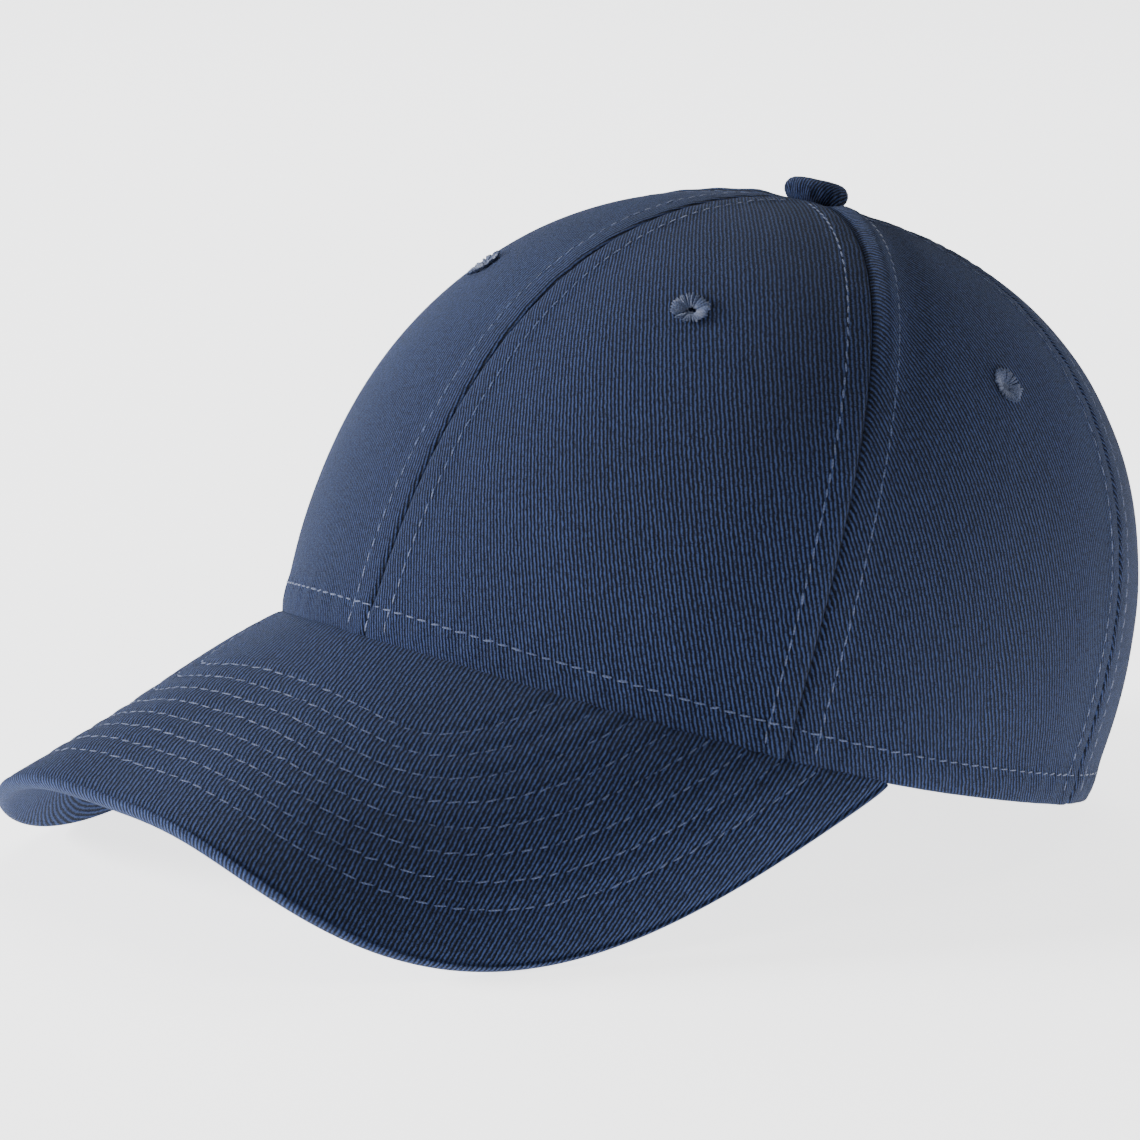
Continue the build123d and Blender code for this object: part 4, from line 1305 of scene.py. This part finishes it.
def folded_section(half_height, half_wall, count=9):
    """Closed outline of a folded band: round edges and flat faces, as (height, depth)."""
    turn = np.linspace(-pi / 2, pi / 2, count)
    straight = half_height - half_wall
    edge = np.stack([straight + half_wall * np.cos(turn), half_wall * np.sin(turn)], -1)
    face = np.stack([np.linspace(straight, -straight, 20)[1:-1], np.full(18, half_wall)], -1)
    outline = np.concatenate([edge, face, -edge, -face])
    return np.concatenate([outline, outline[:1]])


def band_tube(name, at, run, middle, half_height, half_wall, body, node, seed):
    """A folded band swept along a run, its ends closed; at(run, height, depth) gives points."""
    section = folded_section(half_height, half_wall)
    shrink = np.ones(len(run))
    ends = [0.0, 0.6, 0.9]
    shrink[:3], shrink[-3:] = ends, ends[::-1]
    run_grid, heights = np.meshgrid(run, section[:, 0], indexing="ij")
    depths = section[None, :, 1] * shrink[:, None]
    stitched = 0.14 * bump(np.abs(heights), half_height - 2.2, 0.7)
    depths = depths - np.sign(depths) * stitched * (0.6 + 0.4 * np.cos(2 * pi * run_grid / 3.2))
    points = at(run_grid, middle + heights, depths)
    outer = at(run_grid, middle + heights, depths - 1.0) - at(run_grid, middle + heights, depths)
    direction = np.sign(depths)[..., None] * -outer
    around = np.concatenate([[0], np.cumsum(np.linalg.norm(np.diff(section, axis=0), axis=1))])
    flat = np.stack(np.broadcast_arrays(run_grid + seed * 50.0, around[None, :]), -1)
    made = grid_object(name, points, flat, cloth(), direction, 0.0, None, closed=True)
    attach(made, body, (node,))
    inner = run[(run > run[0] + 1.5) & (run < run[-1] - 1.5)]
    for side in (-1, 1):
        for face in (-1, 1):
            height = np.full(len(inner), middle + side * (half_height - 2.2))
            path = at(inner, height, np.full(len(inner), face * half_wall * 0.9))
            normals = at(inner, height, np.full(len(inner), face * 1.0)) - at(inner, height, 0.0)
            row = f"{name}_{'upper' if side > 0 else 'lower'}_{'inner' if face > 0 else 'outer'}_stitches"
            stitch_row(row, path, unit(normals), thread(), body, 3.2, 2.3, 0.4, 0.05, seed)


class CAP_OT_strap(Operator):
    """Make the adjusting strap and the tab that holds the clasp"""

    bl_idname = "cap.strap"
    bl_label = "Strap and tab"

    def execute(self, context):
        half_height = (STRAP_HIGH - STRAP_LOW) / 2
        middle = (STRAP_HIGH + STRAP_LOW) / 2
        half_wall = STRAP_THICKNESS / 2
        run = np.linspace(*STRAP_ENDS, 200)

        def on_strap(arc, height, depth):
            return strap_point(arc, height, STRAP_DEPTH + half_wall + depth)

        band_tube("strap_cloth", on_strap, run, middle, half_height, half_wall, "strap", "strap", 3)
        self.tab()
        return {"FINISHED"}

    def tab(self):
        """The tab runs behind the panel, round the clasp's bar and back on itself."""
        turn = CLASP_ARC / STRAP_RADIUS
        out = np.array([sin(turn), cos(turn), 0.0])
        normal = unit(np.array([out[0], out[1], -STRAP_LEAN]))
        up = unit(np.array([out[0] * STRAP_LEAN, out[1] * STRAP_LEAN, 1.0]))
        side = np.cross(up, normal)
        origin = np.array([0, STRAP_CENTRE, (STRAP_LOW + STRAP_HIGH) / 2]) + out * STRAP_RADIUS

        def band(x, radius):
            return np.stack([x, np.sqrt(radius**2 - x**2) - STRAP_RADIUS], -1)

        wall = TAB_HALF_WALL / 2
        loop = BAR_RADIUS + 0.4
        bar_rise = band(np.array(CLASP_BAR), TAB_RADIUS)[1] + loop
        x = np.linspace(CLASP_BAR - TAB_LENGTH, CLASP_BAR, 40)
        lower = band(x, TAB_RADIUS - wall)
        angle = np.linspace(-pi / 2, pi / 2, 15)[1:]
        round_bar = np.stack([CLASP_BAR + loop * np.cos(angle), bar_rise + loop * np.sin(angle)], -1)
        back = x[::-1][1:]
        upper = band(back, TAB_RADIUS + wall)
        lift = smoothstep(CLASP_BAR - 4.5, CLASP_BAR, back) * (round_bar[-1, 1] - upper[0, 1])
        upper[:, 1] += lift
        path = np.concatenate([lower, round_bar, upper])
        levels = np.linspace(-TAB_HEIGHT / 2, TAB_HEIGHT / 2, 34)
        points = (
            origin - side * path[:, None, 0:1] + normal * path[:, None, 1:2]
            + up * levels[None, :, None]
        )
        slope = np.gradient(path, axis=0)
        square = np.stack([slope[:, 1], -slope[:, 0]], -1)
        direction = -side * square[:, None, 0:1] + normal * square[:, None, 1:2] + 0 * points
        flat = np.stack([run_length(points, 0) + 700.0, run_length(points, 1)], -1)
        tab = grid_object("clasp_tab_cloth", points, flat, cloth(), direction, 0.34)
        attach(tab, "cap", ("clasp_tab",))
        declare_cloth(points)
        rows = slice(len(path) - 34, len(path) - 2)
        for number, column in enumerate((3, 30)):
            stitch_row(
                f"clasp_tab_stitches_{number + 1}", points[rows, column], direction[rows, column],
                thread(), "cap", 3.0, 2.2, 0.4, 0.1, 90 + number,
            )


class CAP_OT_hardware(Operator):
    """Finish the clasp, the rivet, the button's core and the visor's board"""

    bl_idname = "cap.hardware"
    bl_label = "Metal and board"

    def execute(self, context):
        nickel = object_material("brushed_nickel", (0.56, 0.55, 0.52), 0.34, 1.0, 0.16, 900.0, 0.02, True)
        steel = object_material("tinned_steel", (0.60, 0.61, 0.62), 0.42, 1.0, 0.12, 600.0, 0.02)
        board = object_material("board_plastic", (0.72, 0.72, 0.69), 0.55, 0.0, 0.06, 300.0, 0.05)
        finishes = {
            "visor_board": board, "clasp_frame": nickel, "clasp_lever": nickel, "lever_pin": nickel, "tab_bar": nickel,
            "button_core": steel, "button_rivet": steel, "button_washer": steel,
        }
        for name, material in finishes.items():
            piece = bpy.data.objects[name]
            piece.data.materials.clear()
            piece.data.materials.append(material)
        return {"FINISHED"}


# ---------------------------------------------------------------- stage


class CAP_OT_stage(Operator):
    """Set the floor, the soft lights and the camera"""

    bl_idname = "cap.stage"
    bl_label = "Stage"

    def execute(self, context):
        bm = bmesh.new()
        bmesh.ops.create_grid(bm, x_segments=1, y_segments=1, size=14.0)
        ground = min(0.0, float(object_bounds()[0][2]))
        bmesh.ops.translate(bm, vec=(0.0, 0.0, ground), verts=bm.verts)
        shader = Shader("pale_floor")
        where = shader.node("ShaderNodeTexCoord", output="Object")
        cloud = shader.noise(where, 3.0, 2.0)
        base = shader.mix(cloud, (0.90, 0.90, 0.905, 1), (0.93, 0.93, 0.93, 1))
        shader.set(Base_Color=base, Roughness=0.9, Emission_Color=base, Emission_Strength=2.6)
        floor = finish_object("floor", bm, [shader.material], smooth=False)
        floor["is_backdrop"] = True
        world = bpy.data.worlds.new("studio")
        bpy.context.scene.world = world
        world.use_nodes = True
        world.node_tree.nodes["Background"].inputs["Color"].default_value = (0.95, 0.97, 1.0, 1)
        world.node_tree.nodes["Background"].inputs["Strength"].default_value = 0.22
        self.light("key", (-1.34, -1.63, 0.66), (0.0, -0.03, 0.07), 0.7, 104.0, (0.99, 0.99, 1.0))
        self.light("back_left", (-1.2, 1.0, 1.3), (0.0, 0.0, 0.08), 0.9, 14.0, (0.92, 0.96, 1.0))
        self.light("top", (0.1, 0.3, 2.4), (0.0, 0.0, 0.05), 1.5, 11.0, (1.0, 1.0, 1.0))
        self.light("fill", (1.9, -0.2, 0.9), (0.0, 0.0, 0.06), 1.3, 3.0, (1.0, 1.0, 1.0))
        self.camera()
        return {"FINISHED"}

    def light(self, name, position, target, size, energy, colour):
        data = bpy.data.lights.new(name, "AREA")
        data.shape, data.size, data.energy, data.color = "DISK", size, energy, colour
        made = bpy.data.objects.new(name, data)
        bpy.context.scene.collection.objects.link(made)
        aim = Vector(target) - Vector(position)
        made.matrix_world = Matrix.Translation(position) @ aim.to_track_quat("-Z", "Y").to_matrix().to_4x4()

    def camera(self):
        azimuth, elevation, roll = radians(46.244), radians(3.194), radians(12.207)
        distance, target = 1240.1, np.array([-6.87, -38.87, 27.39])
        back = np.array([sin(azimuth) * cos(elevation), -cos(azimuth) * cos(elevation), sin(elevation)])
        level = np.array([cos(azimuth), sin(azimuth), 0.0])
        upright = np.cross(back, level)
        right = level * cos(roll) + upright * sin(roll)
        up = upright * cos(roll) - level * sin(roll)
        data = bpy.data.cameras.new("camera")
        data.sensor_width, data.lens = 36.0, 173.02
        data.clip_start, data.clip_end = 0.05, 20.0
        made = bpy.data.objects.new("camera", data)
        bpy.context.scene.collection.objects.link(made)
        right, up, back = (lay_back(v) for v in (right, up, back))
        where = place(target) * MM + back * distance * MM
        matrix = Matrix([[right[r], up[r], back[r]] for r in range(3)]).to_4x4()
        matrix.translation = Vector(where)
        made.matrix_world = matrix
        bpy.context.scene.camera = made


class CAP_PT_panel(Panel):
    """Lists the steps that build the cap"""

    bl_idname = "CAP_PT_panel"
    bl_label = "Baseball Cap"
    bl_space_type = "VIEW_3D"
    bl_region_type = "UI"
    bl_category = "Cap"

    def draw(self, context):
        for name in CapSettings.__annotations__:
            self.layout.prop(context.scene.cap_settings, name)
        for operator in STEPS:
            self.layout.operator(operator.bl_idname)


STEPS = (
    CAP_OT_panels, CAP_OT_eyelets, CAP_OT_button, CAP_OT_visor, CAP_OT_backing, CAP_OT_tapes,
    CAP_OT_sweatband, CAP_OT_strap, CAP_OT_hardware, CAP_OT_stage,
)
CLASSES = (CapSettings,) + STEPS + (CAP_PT_panel,)


def register():
    for item in CLASSES:
        bpy.utils.register_class(item)
    bpy.types.Scene.cap_settings = PointerProperty(type=CapSettings)


def unregister():
    del bpy.types.Scene.cap_settings
    for item in reversed(CLASSES):
        bpy.utils.unregister_class(item)


def main():
    register()
    for operator in STEPS:
        group, name = operator.bl_idname.split(".")
        getattr(getattr(bpy.ops, group), name)()


if __name__ == "__main__":
    main()
